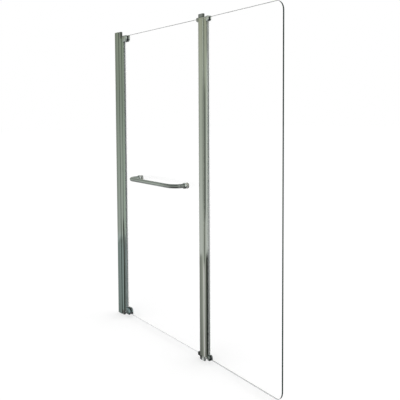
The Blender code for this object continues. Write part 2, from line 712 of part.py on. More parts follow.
def add_slot_clamp(prefix, end, end_of, size, glass_edge, finishes, parent):
    """A one piece clamp with a slot for the glass, its gasket and a grub screw. Returns its body."""
    side, sign, reference = end_of
    start, reach, height, thickness = size
    half = thickness / 2
    deep = SLOT_CLAMP_RISE - height
    slot_x = glass_edge - GASKET_THICKNESS - 2 * GASKET_GAP
    shape = clamp_outline(start, reach, height, SLOT_CLAMP_RISE, SLOT_CLAMP_ROUND)
    body_mesh = extrusion([placed(shape, side, sign, reference)], -half, half, "Y")
    round_rim(body_mesh, "Y", [-half, half], CLAMP_EDGE_RADIUS)
    body = add_object(f"{prefix}_clamp_{end}", body_mesh, finishes["chrome"], parent)
    slot = block(slot_x, reach + CUT_OVERRUN, deep - CUT_OVERRUN, 2 * GASKET_GAP)
    slot = extrusion([placed(slot, side, sign, reference)], -SLOT_HALF, SLOT_HALF, "Y")
    apply_tool(body, "DIFFERENCE", "slot", slot)

    grub_x = side * (slot_x + reach) / 2
    grub_z = reference + sign * deep / 2
    mouth = half - GRUB_HEAD_HEIGHT - SCREW_GAP
    socket = [
        (0, SLOT_HALF - CUT_OVERRUN),
        (GRUB_RADIUS + SCREW_GAP, SLOT_HALF - CUT_OVERRUN),
        (GRUB_RADIUS + SCREW_GAP, mouth),
        (GRUB_HEAD_RADIUS + SCREW_GAP, mouth),
        (GRUB_HEAD_RADIUS + SCREW_GAP, half + CUT_OVERRUN),
        (0, half + CUT_OVERRUN),
    ]
    centre = (grub_x, 0, grub_z)
    apply_tool(body, "DIFFERENCE", "grub_hole", turned(socket, "Y", centre, SMALL_SIDES))

    sheet = clamp_outline(
        slot_x + GASKET_GAP, reach, height, SLOT_CLAMP_RISE, SLOT_CLAMP_ROUND, CLAMP_EDGE_RADIUS / 2
    )
    add_gasket(f"{prefix}_clamp_gasket_{end}", sheet, slot_x, end_of, finishes, parent)

    tip = GLASS_HALF + GASKET_THICKNESS + 2 * GASKET_GAP
    top = half - SCREW_GAP
    grub = [
        (0, tip),
        (GRUB_RADIUS, tip),
        (GRUB_RADIUS, top - GRUB_HEAD_HEIGHT),
        (GRUB_HEAD_RADIUS, top - GRUB_HEAD_HEIGHT),
        (GRUB_HEAD_RADIUS, top),
        (0, top),
    ]
    screw = add_object(
        f"{prefix}_clamp_screw_{end}", turned(grub, "Y", centre, SMALL_SIDES), finishes["steel"], parent
    )
    hexagon = circle((grub_x, grub_z), KEY_RADIUS, KEY_SIDES)
    key = extrusion([hexagon], top - KEY_DEPTH, top + CUT_OVERRUN, "Y")
    apply_tool(screw, "DIFFERENCE", "key", key)
    return body


def add_outer_clamp(end, sign, reference, finishes, parent):
    """The outer leaf's clamp, a slot clamp with a neck on its pivot tube."""
    end_of = (1, sign, reference)
    size = (CLAMP_SHOULDER_X, OUTER_CLAMP_REACH, OUTER_CLAMP_HEIGHT, OUTER_CLAMP_THICKNESS)
    body = add_slot_clamp("outer", end, end_of, size, GLASS_EDGE_X, finishes, parent)
    add_neck(body, SLOT_CLAMP_RISE - OUTER_CLAMP_HEIGHT, OUTER_SPIGOT_DROP, end_of)


def add_fixed_clamp(end, sign, reference, finishes, parent):
    """The clamp that joins the inner leaf's far edge to the fold post, with a spigot in the post."""
    near = SEAT_GAP - FOLD_POST_LEFT
    size = (near, near + FIXED_CLAMP_LENGTH, FIXED_CLAMP_HEIGHT, FIXED_CLAMP_THICKNESS)
    edge = FIXED_GLASS_GAP - FOLD_POST_LEFT
    body = add_slot_clamp("fixed", end, (-1, sign, reference), size, edge, finishes, parent)
    pin = circle((0, reference - sign * fixed_spigot_drop()), SPIGOT_RADIUS, SMALL_SIDES)
    tip = FOLD_POST_LEFT + POST_WALL - SLIDE_GAP
    spigot = extrusion([pin], -near - CLAMP_TOE_RADIUS / 2, tip, "X")
    apply_tool(body, "UNION", "spigot", spigot)


def fixed_spigot_drop():
    return FOLD_CAP_SKIRT + SEAT_GAP + SPIGOT_END_WALL + SEAT_GAP + SPIGOT_RADIUS


def seal_outline(edge, lip_end, direction):
    """A seal's section: two grips on the glass faces, a web past the edge, and a round lip at its end."""
    grip = GLASS_HALF + GASKET_GAP
    outer = grip + SEAL_WALL
    far = edge + direction * SEAL_GRIP
    web = edge - direction * GASKET_GAP
    root = web - direction * SEAL_WALL
    lip_x = lip_end + direction * SEAL_LIP_RADIUS
    if direction > 0:
        lip = arc((lip_x, 0), SEAL_LIP_RADIUS, 90, 270, LIP_STEPS)
    else:
        lip = arc((lip_x, 0), SEAL_LIP_RADIUS, 90, -90, LIP_STEPS)
    return (
        [(far, grip), (far, outer), (root, outer)]
        + lip
        + [(root, -outer), (far, -outer), (far, -grip), (web, -grip), (web, grip)]
    )


def add_seal(name, edge, lip_end, direction, clearance, finish, parent):
    """A clear seal on an upright edge of the glass, between its two clamps."""
    low = GLASS_BOTTOM + clearance
    high = GLASS_TOP - clearance
    add_object(name, extrusion([seal_outline(edge, lip_end, direction)], low, high, "Z"), finish, parent)


def add_glass(name, outline, holes, finish, parent):
    """A sheet of glass with its holes."""
    loops = [outline]
    for x, z, radius in holes:
        loops.append(circle((x, z), radius, SMALL_SIDES))
    add_object(name, extrusion(loops, -GLASS_HALF, GLASS_HALF, "Y"), finish, parent)


def add_inner_glass(finish, parent):
    left = GLASS_EDGE_X
    right = INNER_GLASS_END
    outline = [(left, GLASS_BOTTOM), (right, GLASS_BOTTOM), (right, GLASS_TOP), (left, GLASS_TOP)]
    holes = []
    for _, sign, reference in ENDS:
        x, z = wall_screw_place()
        holes.append((x, reference + sign * z, GLASS_HOLE_RADIUS))
    for x in rail_ends():
        holes.append((x, RAIL_DROP, RAIL_HOLE_RADIUS))
    add_glass("inner_glass", outline, holes, finish, parent)


def add_outer_glass(finish, parent):
    left = GLASS_EDGE_X
    right = OUTER_GLASS_END
    outline = rounded(
        [
            (left, GLASS_BOTTOM, 0),
            (right, GLASS_BOTTOM, GLASS_CORNER_RADIUS),
            (right, GLASS_TOP, GLASS_CORNER_RADIUS),
            (left, GLASS_TOP, 0),
        ],
        LOBE_STEPS,
    )
    add_glass("outer_glass", outline, [], finish, parent)


def rail_ends():
    """The rail's two fixing lines, measured from the wall side pivot axis."""
    near = RAIL_NEAR_X - WALL_AXIS_X
    return (near, near + RAIL_CENTRES)


def rail_path(foot_y):
    """The rail's middle line: out from the first rosette, along, and back to the second."""
    left, right = rail_ends()
    out = -GLASS_HALF - RAIL_STAND_OFF
    bend = RAIL_BEND_RADIUS
    points = [(left, foot_y)]
    points += arc((left + bend, out + bend), bend, 180, 270, RAIL_BEND_STEPS)
    points += arc((right - bend, out + bend), bend, 270, 360, RAIL_BEND_STEPS)
    points += [(right, foot_y)]
    return points


def add_rail(finish, parent):
    """The D shaped towel rail, a bent bar with a threaded hole in each end."""
    foot_y = -GLASS_HALF - WASHER_THICKNESS - 2 * SEAT_GAP - ROSETTE_HEIGHT + RAIL_SOCKET_DEPTH
    path = rail_path(foot_y)
    bm = bmesh.new()
    rings = []
    for index, (x, y) in enumerate(path):
        before = Vector(path[max(index - 1, 0)])
        after = Vector(path[min(index + 1, len(path) - 1)])
        along = (after - before).normalized()
        across = Vector((along.y, -along.x))
        ring = []
        for u, v in circle((0, 0), RAIL_RADIUS, RAIL_SIDES):
            ring.append(bm.verts.new((x + across.x * u, y + across.y * u, RAIL_DROP + v)))
        rings.append(ring)
    for near, far in zip(rings, rings[1:]):
        for index in range(RAIL_SIDES):
            bm.faces.new((near[index - 1], near[index], far[index], far[index - 1]))
    bm.faces.new(rings[0])
    bm.faces.new(rings[-1])
    bmesh.ops.recalc_face_normals(bm, faces=bm.faces)
    rail = add_object("towel_rail", bm, finish, parent)
    for number, x in enumerate(rail_ends(), 1):
        hole = extrusion(
            [circle((x, RAIL_DROP), STUD_RADIUS + SCREW_GAP, SMALL_SIDES)],
            foot_y - RAIL_THREAD_DEPTH,
            foot_y + CUT_OVERRUN,
            "Y",
        )
        apply_tool(rail, "DIFFERENCE", f"thread_{number}", hole)


def add_rail_fixing(number, x, finishes, parent):
    """One end of the rail: rosette, washer with a sleeve through the glass, back washer, capped stud."""
    centre = (x, 0, RAIL_DROP)
    face = -GLASS_HALF - SEAT_GAP
    washer = [
        (STUD_RADIUS + SLIDE_GAP, face - WASHER_THICKNESS),
        (WASHER_RADIUS, face - WASHER_THICKNESS),
        (WASHER_RADIUS, face),
        (SLEEVE_RADIUS, face),
        (SLEEVE_RADIUS, GLASS_HALF),
        (STUD_RADIUS + SLIDE_GAP, GLASS_HALF),
    ]
    washer = turned(washer, "Y", centre, ROSETTE_SIDES)
    add_object(f"rail_sleeve_{number}", washer, finishes["nylon"], parent)
    foot = face - WASHER_THICKNESS - SEAT_GAP
    rim = foot - ROSETTE_HEIGHT
    mouth = RAIL_RADIUS + SLIDE_GAP
    rosette = [
        (STUD_RADIUS + SLIDE_GAP, foot),
        (ROSETTE_RADIUS, foot),
    ]
    for across, up in ROSETTE_SHOULDER_SHARES:
        rosette.append((ROSETTE_RADIUS - ROSETTE_SHOULDER * across, rim + ROSETTE_SHOULDER * up))
    rosette += [
        (mouth, rim),
        (mouth, rim + RAIL_SOCKET_DEPTH + SLIDE_GAP),
        (STUD_RADIUS + SLIDE_GAP, rim + RAIL_SOCKET_DEPTH + SLIDE_GAP),
    ]
    rosette = turned(rosette, "Y", centre, ROSETTE_SIDES)
    add_object(f"rail_rosette_{number}", rosette, finishes["chrome"], parent)
    back = GLASS_HALF + SEAT_GAP
    disc = [
        (STUD_RADIUS + SLIDE_GAP, back),
        (WASHER_RADIUS, back),
        (WASHER_RADIUS, back + WASHER_THICKNESS),
        (STUD_RADIUS + SLIDE_GAP, back + WASHER_THICKNESS),
    ]
    disc = turned(disc, "Y", centre, ROSETTE_SIDES)
    add_object(f"rail_back_washer_{number}", disc, finishes["nylon"], parent)
    seat = back + WASHER_THICKNESS + SEAT_GAP
    tip = rim + RAIL_SOCKET_DEPTH - RAIL_THREAD_DEPTH + SCREW_GAP * 2
    cap = [
        (0, tip),
        (STUD_RADIUS, tip),
        (STUD_RADIUS, seat),
    ]
    for across, up in BACK_CAP_SHARES:
        cap.append((ROSETTE_RADIUS * across, seat + BACK_CAP_HEIGHT * up))
    cap = turned(cap, "Y", centre, ROSETTE_SIDES)
    add_object(f"rail_back_cap_{number}", cap, finishes["chrome"], parent)


def cut_spigot_holes(post):
    """Holes in the fold post's near side for the small clamps' spigots."""
    places = [(0, reference - sign * fixed_spigot_drop()) for end, sign, reference in ENDS]
    low, high = FOLD_POST_LEFT - CUT_OVERRUN, FOLD_POST_LEFT + POST_WALL + CUT_OVERRUN
    holes = drilled(places, SPIGOT_RADIUS + SEAT_GAP, low, high, "X")
    apply_tool(post, "DIFFERENCE", "spigot_holes", holes)


def build():
    for obj in list(bpy.data.objects):
        bpy.data.objects.remove(obj, do_unlink=True)

    finishes = {
        "bright": material("polished_aluminium", (0.62, 0.64, 0.60), 0.12, 1.0),
        "chrome": material("chrome_plate", (0.64, 0.65, 0.64), 0.08, 1.0),
        "glass": material("clear_glass", (0.93, 0.97, 0.96), 0.02, 0.0, 0.25),
        "seal": material("clear_seal", (0.85, 0.88, 0.88), 0.25, 0.0, 0.5),
        "rubber": material("clamp_rubber", (0.30, 0.31, 0.32), 0.7, 0.0),
        "nylon": material("white_nylon", (0.80, 0.80, 0.78), 0.5, 0.0),
        "steel": material("screw_steel", (0.55, 0.55, 0.55), 0.25, 1.0),
    }

    wall_line = add_empty("wall_post_line", (WALL_AXIS_X, 0, 0))
    inner_leaf = add_empty("inner_leaf_hinge", (WALL_AXIS_X, 0, 0))
    fold_line = add_empty("fold_post_line", (FOLD_AXIS_X - WALL_AXIS_X, 0, 0), inner_leaf)
    outer_leaf = add_empty("outer_leaf_hinge", (0, 0, 0), fold_line)
    outer_leaf.rotation_euler = (0, 0, math.radians(REST_FOLD_DEGREES))

    add_channel(finishes["bright"])
    add_adjusters(finishes["steel"])
    wall_post = add_post(
        "wall_post",
        WALL_POST_LEFT,
        GLASS_BOTTOM + WALL_CAP_SKIRT + SEAT_GAP,
        GLASS_TOP - WALL_CAP_SKIRT - SEAT_GAP,
        finishes["bright"],
        wall_line,
    )
    places = [(adjuster_x() - WALL_AXIS_X, z) for z in adjuster_heights()]
    low, high = POST_BACK_Y - POST_WALL - CUT_OVERRUN, POST_BACK_Y + CUT_OVERRUN
    holes = drilled(places, ADJUSTER_RADIUS + SCREW_GAP, low, high, "Y")
    apply_tool(wall_post, "DIFFERENCE", "screw_holes", holes)
    overhangs = {"top": WALL_TOP_OVERHANG, "bottom": BOTTOM_OVERHANG}
    for end, sign, reference in ENDS:
        add_cap(
            f"wall_post_cap_{end}", WALL_POST_LEFT, sign, reference, overhangs[end], WALL_CAP_SKIRT,
            finishes["chrome"], wall_line,
        )
        add_pin(f"wall_pivot_pin_{end}", sign, reference, finishes["steel"], wall_line)

    add_pivot("inner", SPIGOT_DROP, finishes, inner_leaf)
    for end, sign, reference in ENDS:
        add_wall_clamp(end, sign, reference, finishes, inner_leaf)
    lip_end = TUBE_RADIUS + SEAT_GAP
    add_seal(
        "inner_seal", GLASS_EDGE_X, lip_end, 1, WALL_CLAMP_HEIGHT - WALL_CLAMP_RISE + SEAL_END_GAP,
        finishes["seal"], inner_leaf,
    )
    add_inner_glass(finishes["glass"], inner_leaf)
    add_rail(finishes["chrome"], inner_leaf)
    for number, x in enumerate(rail_ends(), 1):
        add_rail_fixing(number, x, finishes, inner_leaf)

    fold_post = add_post(
        "fold_post",
        FOLD_POST_LEFT,
        GLASS_BOTTOM + FOLD_CAP_SKIRT + SEAT_GAP,
        GLASS_TOP - FOLD_CAP_SKIRT - SEAT_GAP,
        finishes["bright"],
        fold_line,
    )
    cut_spigot_holes(fold_post)
    overhangs = {"top": FOLD_TOP_OVERHANG, "bottom": BOTTOM_OVERHANG}
    for end, sign, reference in ENDS:
        add_cap(
            f"fold_post_cap_{end}", FOLD_POST_LEFT, sign, reference, overhangs[end], FOLD_CAP_SKIRT,
            finishes["chrome"], fold_line,
        )
        add_pin(f"fold_pivot_pin_{end}", sign, reference, finishes["steel"], fold_line)
        add_fixed_clamp(end, sign, reference, finishes, fold_line)
    add_seal(
        "fold_post_seal", FOLD_POST_LEFT - FIXED_GLASS_GAP, FOLD_POST_LEFT - SEAT_GAP, -1,
        FIXED_CLAMP_HEIGHT - SLOT_CLAMP_RISE + SEAL_END_GAP, finishes["seal"], fold_line,
    )

    add_pivot("outer", OUTER_SPIGOT_DROP, finishes, outer_leaf)
    for end, sign, reference in ENDS:
        add_outer_clamp(end, sign, reference, finishes, outer_leaf)
    add_seal(
        "outer_seal", GLASS_EDGE_X, lip_end, 1, OUTER_CLAMP_HEIGHT - SLOT_CLAMP_RISE + SEAL_END_GAP,
        finishes["seal"], outer_leaf,
    )
    add_outer_glass(finishes["glass"], outer_leaf)


build()
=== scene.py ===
"""Folding shower screen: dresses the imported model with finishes, glass and a studio.

Laid out as a Blender add-on and run as a script: one operator for each group of pieces.
Finishes are laid out in the part's own frame, in metres: across from the wall, through from the plane of
the inner glass, and height from mid height.
"""

import json
import math

import bmesh
import bpy
from mathutils import Matrix, Vector

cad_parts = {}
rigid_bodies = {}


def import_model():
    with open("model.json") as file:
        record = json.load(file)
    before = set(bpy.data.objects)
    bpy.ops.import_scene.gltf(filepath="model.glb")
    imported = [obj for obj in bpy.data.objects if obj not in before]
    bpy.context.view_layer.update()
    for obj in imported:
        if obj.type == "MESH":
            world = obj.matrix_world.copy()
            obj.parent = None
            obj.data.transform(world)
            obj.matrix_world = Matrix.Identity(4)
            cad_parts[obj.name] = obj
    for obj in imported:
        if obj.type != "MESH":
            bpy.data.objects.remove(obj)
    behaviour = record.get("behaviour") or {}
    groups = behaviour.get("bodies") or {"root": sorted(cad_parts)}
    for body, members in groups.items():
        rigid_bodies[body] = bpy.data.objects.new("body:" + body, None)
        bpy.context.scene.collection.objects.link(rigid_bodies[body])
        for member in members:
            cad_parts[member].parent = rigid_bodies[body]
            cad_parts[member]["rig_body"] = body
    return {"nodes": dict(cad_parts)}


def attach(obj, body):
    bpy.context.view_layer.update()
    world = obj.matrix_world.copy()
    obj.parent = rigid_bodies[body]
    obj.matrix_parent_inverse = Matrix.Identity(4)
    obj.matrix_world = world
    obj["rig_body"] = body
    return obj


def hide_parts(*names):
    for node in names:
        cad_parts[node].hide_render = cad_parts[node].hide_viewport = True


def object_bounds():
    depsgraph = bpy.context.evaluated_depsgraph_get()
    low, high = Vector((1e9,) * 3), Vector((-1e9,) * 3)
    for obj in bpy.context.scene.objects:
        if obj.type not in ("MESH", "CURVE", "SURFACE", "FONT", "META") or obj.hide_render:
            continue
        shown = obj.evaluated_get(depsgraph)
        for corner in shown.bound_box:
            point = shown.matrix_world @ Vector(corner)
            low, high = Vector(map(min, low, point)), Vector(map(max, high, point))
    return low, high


bl_info = {
    "name": "Shower screen finishes",
    "version": (1, 0, 0),
    "blender": (4, 5, 0),
    "location": "View3D > Sidebar > Shower screen",
    "description": "Dresses a folding shower screen with polished metal, clear glass and a studio",
    "category": "Object",
}

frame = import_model()
CAD_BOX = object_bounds()
NODES = frame["nodes"]


def both_ends(fitting, *owners):
    """Node names of a fitting at the top and bottom of each owner."""
    return tuple(f"{owner}_{fitting}_{end}" for owner in owners for end in ("top", "bottom"))


WALL_HEAD_CLAMP_NODES = ("inner_clamp_top", "inner_clamp_plate_top")
WALL_FOOT_CLAMP_NODES = ("inner_clamp_bottom", "inner_clamp_plate_bottom")
GASKET_NODES = both_ends("clamp_gasket", "inner", "outer", "fixed")
BUSH_NODES = both_ends("pivot_bush", "inner", "outer")
PIN_NODES = both_ends("pivot_pin", "wall", "fold")
CLAMP_SCREW_NODES = both_ends("clamp_screw", "inner", "outer", "fixed")
CHANNEL_SCREW_NODES = ("channel_screw_1", "channel_screw_2", "channel_screw_3")
SEAL_NODES = ("inner_seal", "outer_seal", "fold_post_seal")
RAIL_NODES = ("towel_rail", "rail_back_cap_1", "rail_back_cap_2")
ROSETTE_NODES = ("rail_rosette_1", "rail_rosette_2")
WASHER_NODES = ("rail_sleeve_1", "rail_sleeve_2", "rail_back_washer_1", "rail_back_washer_2")

# Points closer than this are welded, and edges sharper than this stay sharp
WELD_GAP = 0.00001
SMOOTH_ANGLE = math.radians(35)

# Glass solids: faces that meet flatter than the first angle are merged, and edges sharper than the second
# are ground
GLASS_FLAT_ANGLE = math.radians(0.5)
GLASS_RIM_ANGLE = math.radians(60)
# How much of a face's normal points through the leaf: above the first on its clear faces, and below the
# second on its rims
CLEAR_SHARE = math.cos(math.radians(9))
RIM_SHARE = math.sin(math.radians(9))
# Material slots of a leaf
CLEAR_SLOT, RIM_SLOT, ARRIS_SLOT = range(3)

# Turning tubes: their axes across the screen, their radius, and the direction in plan from the side beside
# the post to the outer side
WALL_AXIS = 0.0633
FOLD_AXIS = 0.748
TUBE_RADIUS = 0.008
TUBE_OUTWARD = (0.587, 0.81)

# Places round a tube's side, from -1 beside the post to 1 outside: the start and end of a step, or the
# start, full part, fading and end of a band
# These place the fold tube's painted shade and painted highlight, the wall tube's painted shade near the
# floor, and its duller metal
FOLD_SHADE_SIDE = (-0.95, -0.75, -0.50, -0.20)
FOLD_HIGHLIGHT_SIDE = (-0.15, 0.20)
WALL_SHADE_SIDE = (-0.45, -0.30)
WALL_PALE_SIDE = (-0.40, -0.25)

# Heights where the metal's painted shade, highlights and reflections change, and where the fold post's nose
# turns duller, as steps and bands of the same kind
WALL_TOP_STEP = (0.05, 0.45)
WALL_FOOT_STEP = (-0.38, -0.26)
WALL_TUBE_FOOT_STEP = (-0.33, -0.22)
NOSE_FOOT_STEP = (-0.33, -0.28)
NOSE_SHADE_BAND = (-0.14, -0.02, 0.36, 0.50)
TUBE_SHADE_BAND = (-0.16, -0.06, 0.36, 0.46)
TUBE_HIGHLIGHT_BAND = (-0.28, -0.22, 0.45, 0.60)

# The fold post's nose: where it starts across, where it ends through, and how much wider its painted
# highlight is at its foot; then where the painted shade beside the nose starts across
NOSE_START = 0.7386
NOSE_BACK = -0.004
NOSE_WIDENS = 0.004
NOSE_SHADE_START = 0.7335

# End caps: where the painted shade on their noses and along the seam starts across, the top of the collar
# and the height of the seam; then where the fold post's foot cap turns from painted shade to a painted
# highlight
WALL_CAP_NOSE = 0.0535
FOLD_CAP_NOSE = 0.7400
FOLD_COLLAR_TOP = 0.6815
SEAM_START = 0.7165
SEAM_HEIGHT = 0.0025
FOOT_CAP_STEP = (0.724, 0.727)

# Towel rail: where the painted shade of its far bend starts across, and where the painted highlight and
# shade lie on its rosettes
RAIL_BEND_STEP = (0.50, 0.56)
ROSETTE_RIM_START = -0.0118
ROSETTE_UNDERSIDE = -0.003

# Glass rims: the leaves part here across, and their top and bottom edges lie past these heights
LEAVES_PART = 0.72
TOP_EDGE = 0.67
BOTTOM_EDGE = -0.68

# How far the polished faces at the wall lean, in metres per metre of height
WALL_POST_LEAN = 0.031
WALL_TUBE_LEAN = 0.0166

# Repeats of the patterns per metre, across, through and up
DIE_LINES = (900, 900, 5)
DIE_BANDS = (160, 160, 0.8)
HAIR_SCRATCHES = (260, 2600, 700)
TURNING_MARKS = (3000, 3000, 3000)
WIPE_MARKS = (5, 5, 14)
EDGE_WAVES = (60, 60, 60)
SEAL_LINES = (1200, 1200, 8)

# Depths of the reliefs, in metres
DIE_LINE_DEPTH = 0.000003
PLATING_DEPTH = 0.000006
TURNING_DEPTH = 0.00001
RUBBER_DEPTH = 0.00003
NYLON_DEPTH = 0.00002
EDGE_WAVE_DEPTH = 0.000004
GROUND_DEPTH = 0.00002
SEAL_LINE_DEPTH = 0.000003

# Strengths of the changes, from 0 to 1: of painted shade, of satin and duller metal, and of how opaque the
# glass rims are
WALL_TOP_SHADE_SHARE = 0.87
WALL_TUBE_DULLNESS = 0.50
NOSE_SHADE_STRENGTH = 0.30
NOSE_SATIN = 0.42
NOSE_FOOT_DULLNESS = 0.88
CAP_NOSE_SHADE = 0.85
ROSETTE_UNDERSIDE_SHADE = 0.7
TOP_EDGE_OPACITY = 0.70
BOTTOM_EDGE_OPACITY = 0.22

# Glass: how much of the light it mirrors straight on, and how much more at the lowest angle
FACING_SHINE = 0.008
GRAZING_SHINE = 0.97
GLASS_IOR = 1.5
RIM_IOR = 1.52

# Colour of dried drops, share of each part of nylon's colour that age leaves, and white
DRIED_WATER = (0.72, 0.73, 0.72)
YELLOWED = (0.97, 0.94, 0.86)
WHITE = (1.0, 1.0, 1.0)


class Wire:
    """One output socket. Arithmetic on it adds Math nodes to its recipe."""

    def __init__(self, recipe, socket):
        self.recipe = recipe
        self.socket = socket

    def maths(self, operation, *values):
        """A Math node on these values."""
        return self.recipe.node("ShaderNodeMath", {"operation": operation}, dict(enumerate(values)))

    def __add__(self, other):
        return self.maths("ADD", self, other)

    def __radd__(self, other):
        return self.maths("ADD", other, self)

    def __sub__(self, other):
        return self.maths("SUBTRACT", self, other)

    def __rsub__(self, other):
        return self.maths("SUBTRACT", other, self)

    def __mul__(self, other):
        return self.maths("MULTIPLY", self, other)

    def __rmul__(self, other):
        return self.maths("MULTIPLY", other, self)

    def __truediv__(self, other):
        return self.maths("DIVIDE", self, other)

    def __rtruediv__(self, other):
        return self.maths("DIVIDE", other, self)

    def __pow__(self, other):
        return self.maths("POWER", self, other)

    def __rpow__(self, other):
        return self.maths("POWER", other, self)

    def __gt__(self, other):
        return self.maths("GREATER_THAN", self, other)

    def __lt__(self, other):
        return self.maths("LESS_THAN", self, other)

    def step(self, low, high):
        """0 below low, 1 above high, and a smooth rise between them."""
        return self.recipe.node(
            "ShaderNodeMapRange",
            {"interpolation_type": "SMOOTHSTEP"},
            {"Value": self, "From Min": low, "From Max": high},
        )

    def band(self, start, full, fade, end):
        """0 outside start and end, 1 between full and fade, and smooth between them."""
        return self.step(start, full) * (1 - self.step(fade, end))


class Recipe:
    """The nodes of one finish, of the studio or of the smoothing group."""

    def __init__(self, tree):
        self.tree = tree
        self.tree.nodes.clear()

    def node(self, kind, settings=None, inputs=None, output=0):
        """Adds a node: its settings first, then the values or links of its sockets."""
        node = self.tree.nodes.new(kind)
        for name, value in (settings or {}).items():
            if name == "stops":
                self.set_stops(node.color_ramp.elements, value)
            else:
                setattr(node, name, value)
        for name, value in (inputs or {}).items():
            self.feed(node.inputs[name], value)
        return Wire(self, node.outputs[output]) if node.outputs else None

    def feed(self, slot, value):
        """Puts a number, a colour, a vector, a word or a link into a socket."""
        if isinstance(value, Wire):
            self.tree.links.new(value.socket, slot)
        elif slot.type == "RGBA":
            slot.default_value = (*value, 1.0)
        else:
            slot.default_value = value

    @staticmethod
    def set_stops(elements, stops):
        """Gives a ramp its stops, each a place from 0 to 1 and a colour."""
        while len(elements) > 1:
            elements.remove(elements[-1])
        for number, (place, colour) in enumerate(stops):
            stop = elements[0] if number == 0 else elements.new(place)
            stop.position = place
            stop.color = (*colour, 1.0)

    def place(self):
        """The point in the piece's own frame, in metres."""
        return self.node("ShaderNodeTexCoord", output="Object")

    def split(self, vector):
        """The three parts of a vector."""
        first = self.node("ShaderNodeSeparateXYZ", None, {0: vector})
        return [Wire(self, slot) for slot in first.socket.node.outputs]

    def noise(self, vector, scale, detail=2.0, roughness=0.5):
        """A cloudy pattern with this many repeats per metre in every direction."""
        return self.node(
            "ShaderNodeTexNoise",
            {"noise_dimensions": "3D"},
            {"Vector": vector, "Scale": scale, "Detail": detail, "Roughness": roughness},
        )

    def grain(self, point, repeats, detail=2.0, roughness=0.5):
        """A drawn out pattern, with its own repeats per metre across, through and up."""
        stretched = self.node("ShaderNodeVectorMath", {"operation": "MULTIPLY"}, {0: point, 1: repeats})
        return self.noise(stretched, 1.0, detail, roughness)

    def mix(self, blend_type, factor, low, high):
        """A Mix node on two colours."""
        return self.node(
            "ShaderNodeMix",
            {"data_type": "RGBA", "blend_type": blend_type},
            {0: factor, 6: low, 7: high},
            output=2,
        )

    def blend(self, factor, low, high):
        """A colour between two colours: low at 0 and high at 1."""
        return self.mix("MIX", factor, low, high)

    def product(self, colour, other):
        """Two colours multiplied."""
        return self.mix("MULTIPLY", 1.0, colour, other)

    def bump(self, height, depth, strength=1.0):
        """A normal that follows a relief of this depth in metres."""
        return self.node(
            "ShaderNodeBump", None, {"Height": height, "Distance": depth, "Strength": strength}
        )

    def surface(self, shader):
        """Makes a shader the material's surface."""
        self.node("ShaderNodeOutputMaterial", None, {"Surface": shader})

    def principled(self, sockets):
        """Makes a principled shader, with these values and links, the material's surface."""
        self.surface(self.node("ShaderNodeBsdfPrincipled", None, sockets))


def new_finish(name):
    """A new material and the recipe of its nodes."""
    made = bpy.data.materials.new(name)
    made.use_nodes = True
    return made, Recipe(made.node_tree)


class ScreenSizes(bpy.types.PropertyGroup):
    """Sizes that a user would change."""

    arris_width: bpy.props.FloatProperty(
        name="Glass arris", description="Width of the ground chamfer along the glass edges",
        default=0.00087, unit="LENGTH",
    )
    lens: bpy.props.FloatProperty(
        name="Lens", description="Focal length on a 36 mm sensor", default=52.956, unit="CAMERA"
    )
    frame_shift: bpy.props.FloatProperty(
        name="Frame shift", description="Upright shift of the picture frame", default=-0.13, subtype="FACTOR"
    )
    camera_place: bpy.props.FloatVectorProperty(
        name="Camera", description="Where the camera stands", default=(2.6327, -1.3671, 0.3047),
        subtype="TRANSLATION",
    )
    camera_turn: bpy.props.FloatVectorProperty(
        name="Camera turn", description="Yaw, downward pitch and roll of the camera",
        default=(math.radians(54.671), math.radians(3.412), math.radians(-0.304)), subtype="EULER",
    )
    floor_drop: bpy.props.FloatProperty(
        name="Floor drop", description="Gap between the posts and the floor", default=0.0015, unit="LENGTH"
    )
    floor_reach: bpy.props.FloatProperty(
        name="Floor reach", description="Half the side of the floor", default=30.0, unit="LENGTH"
    )


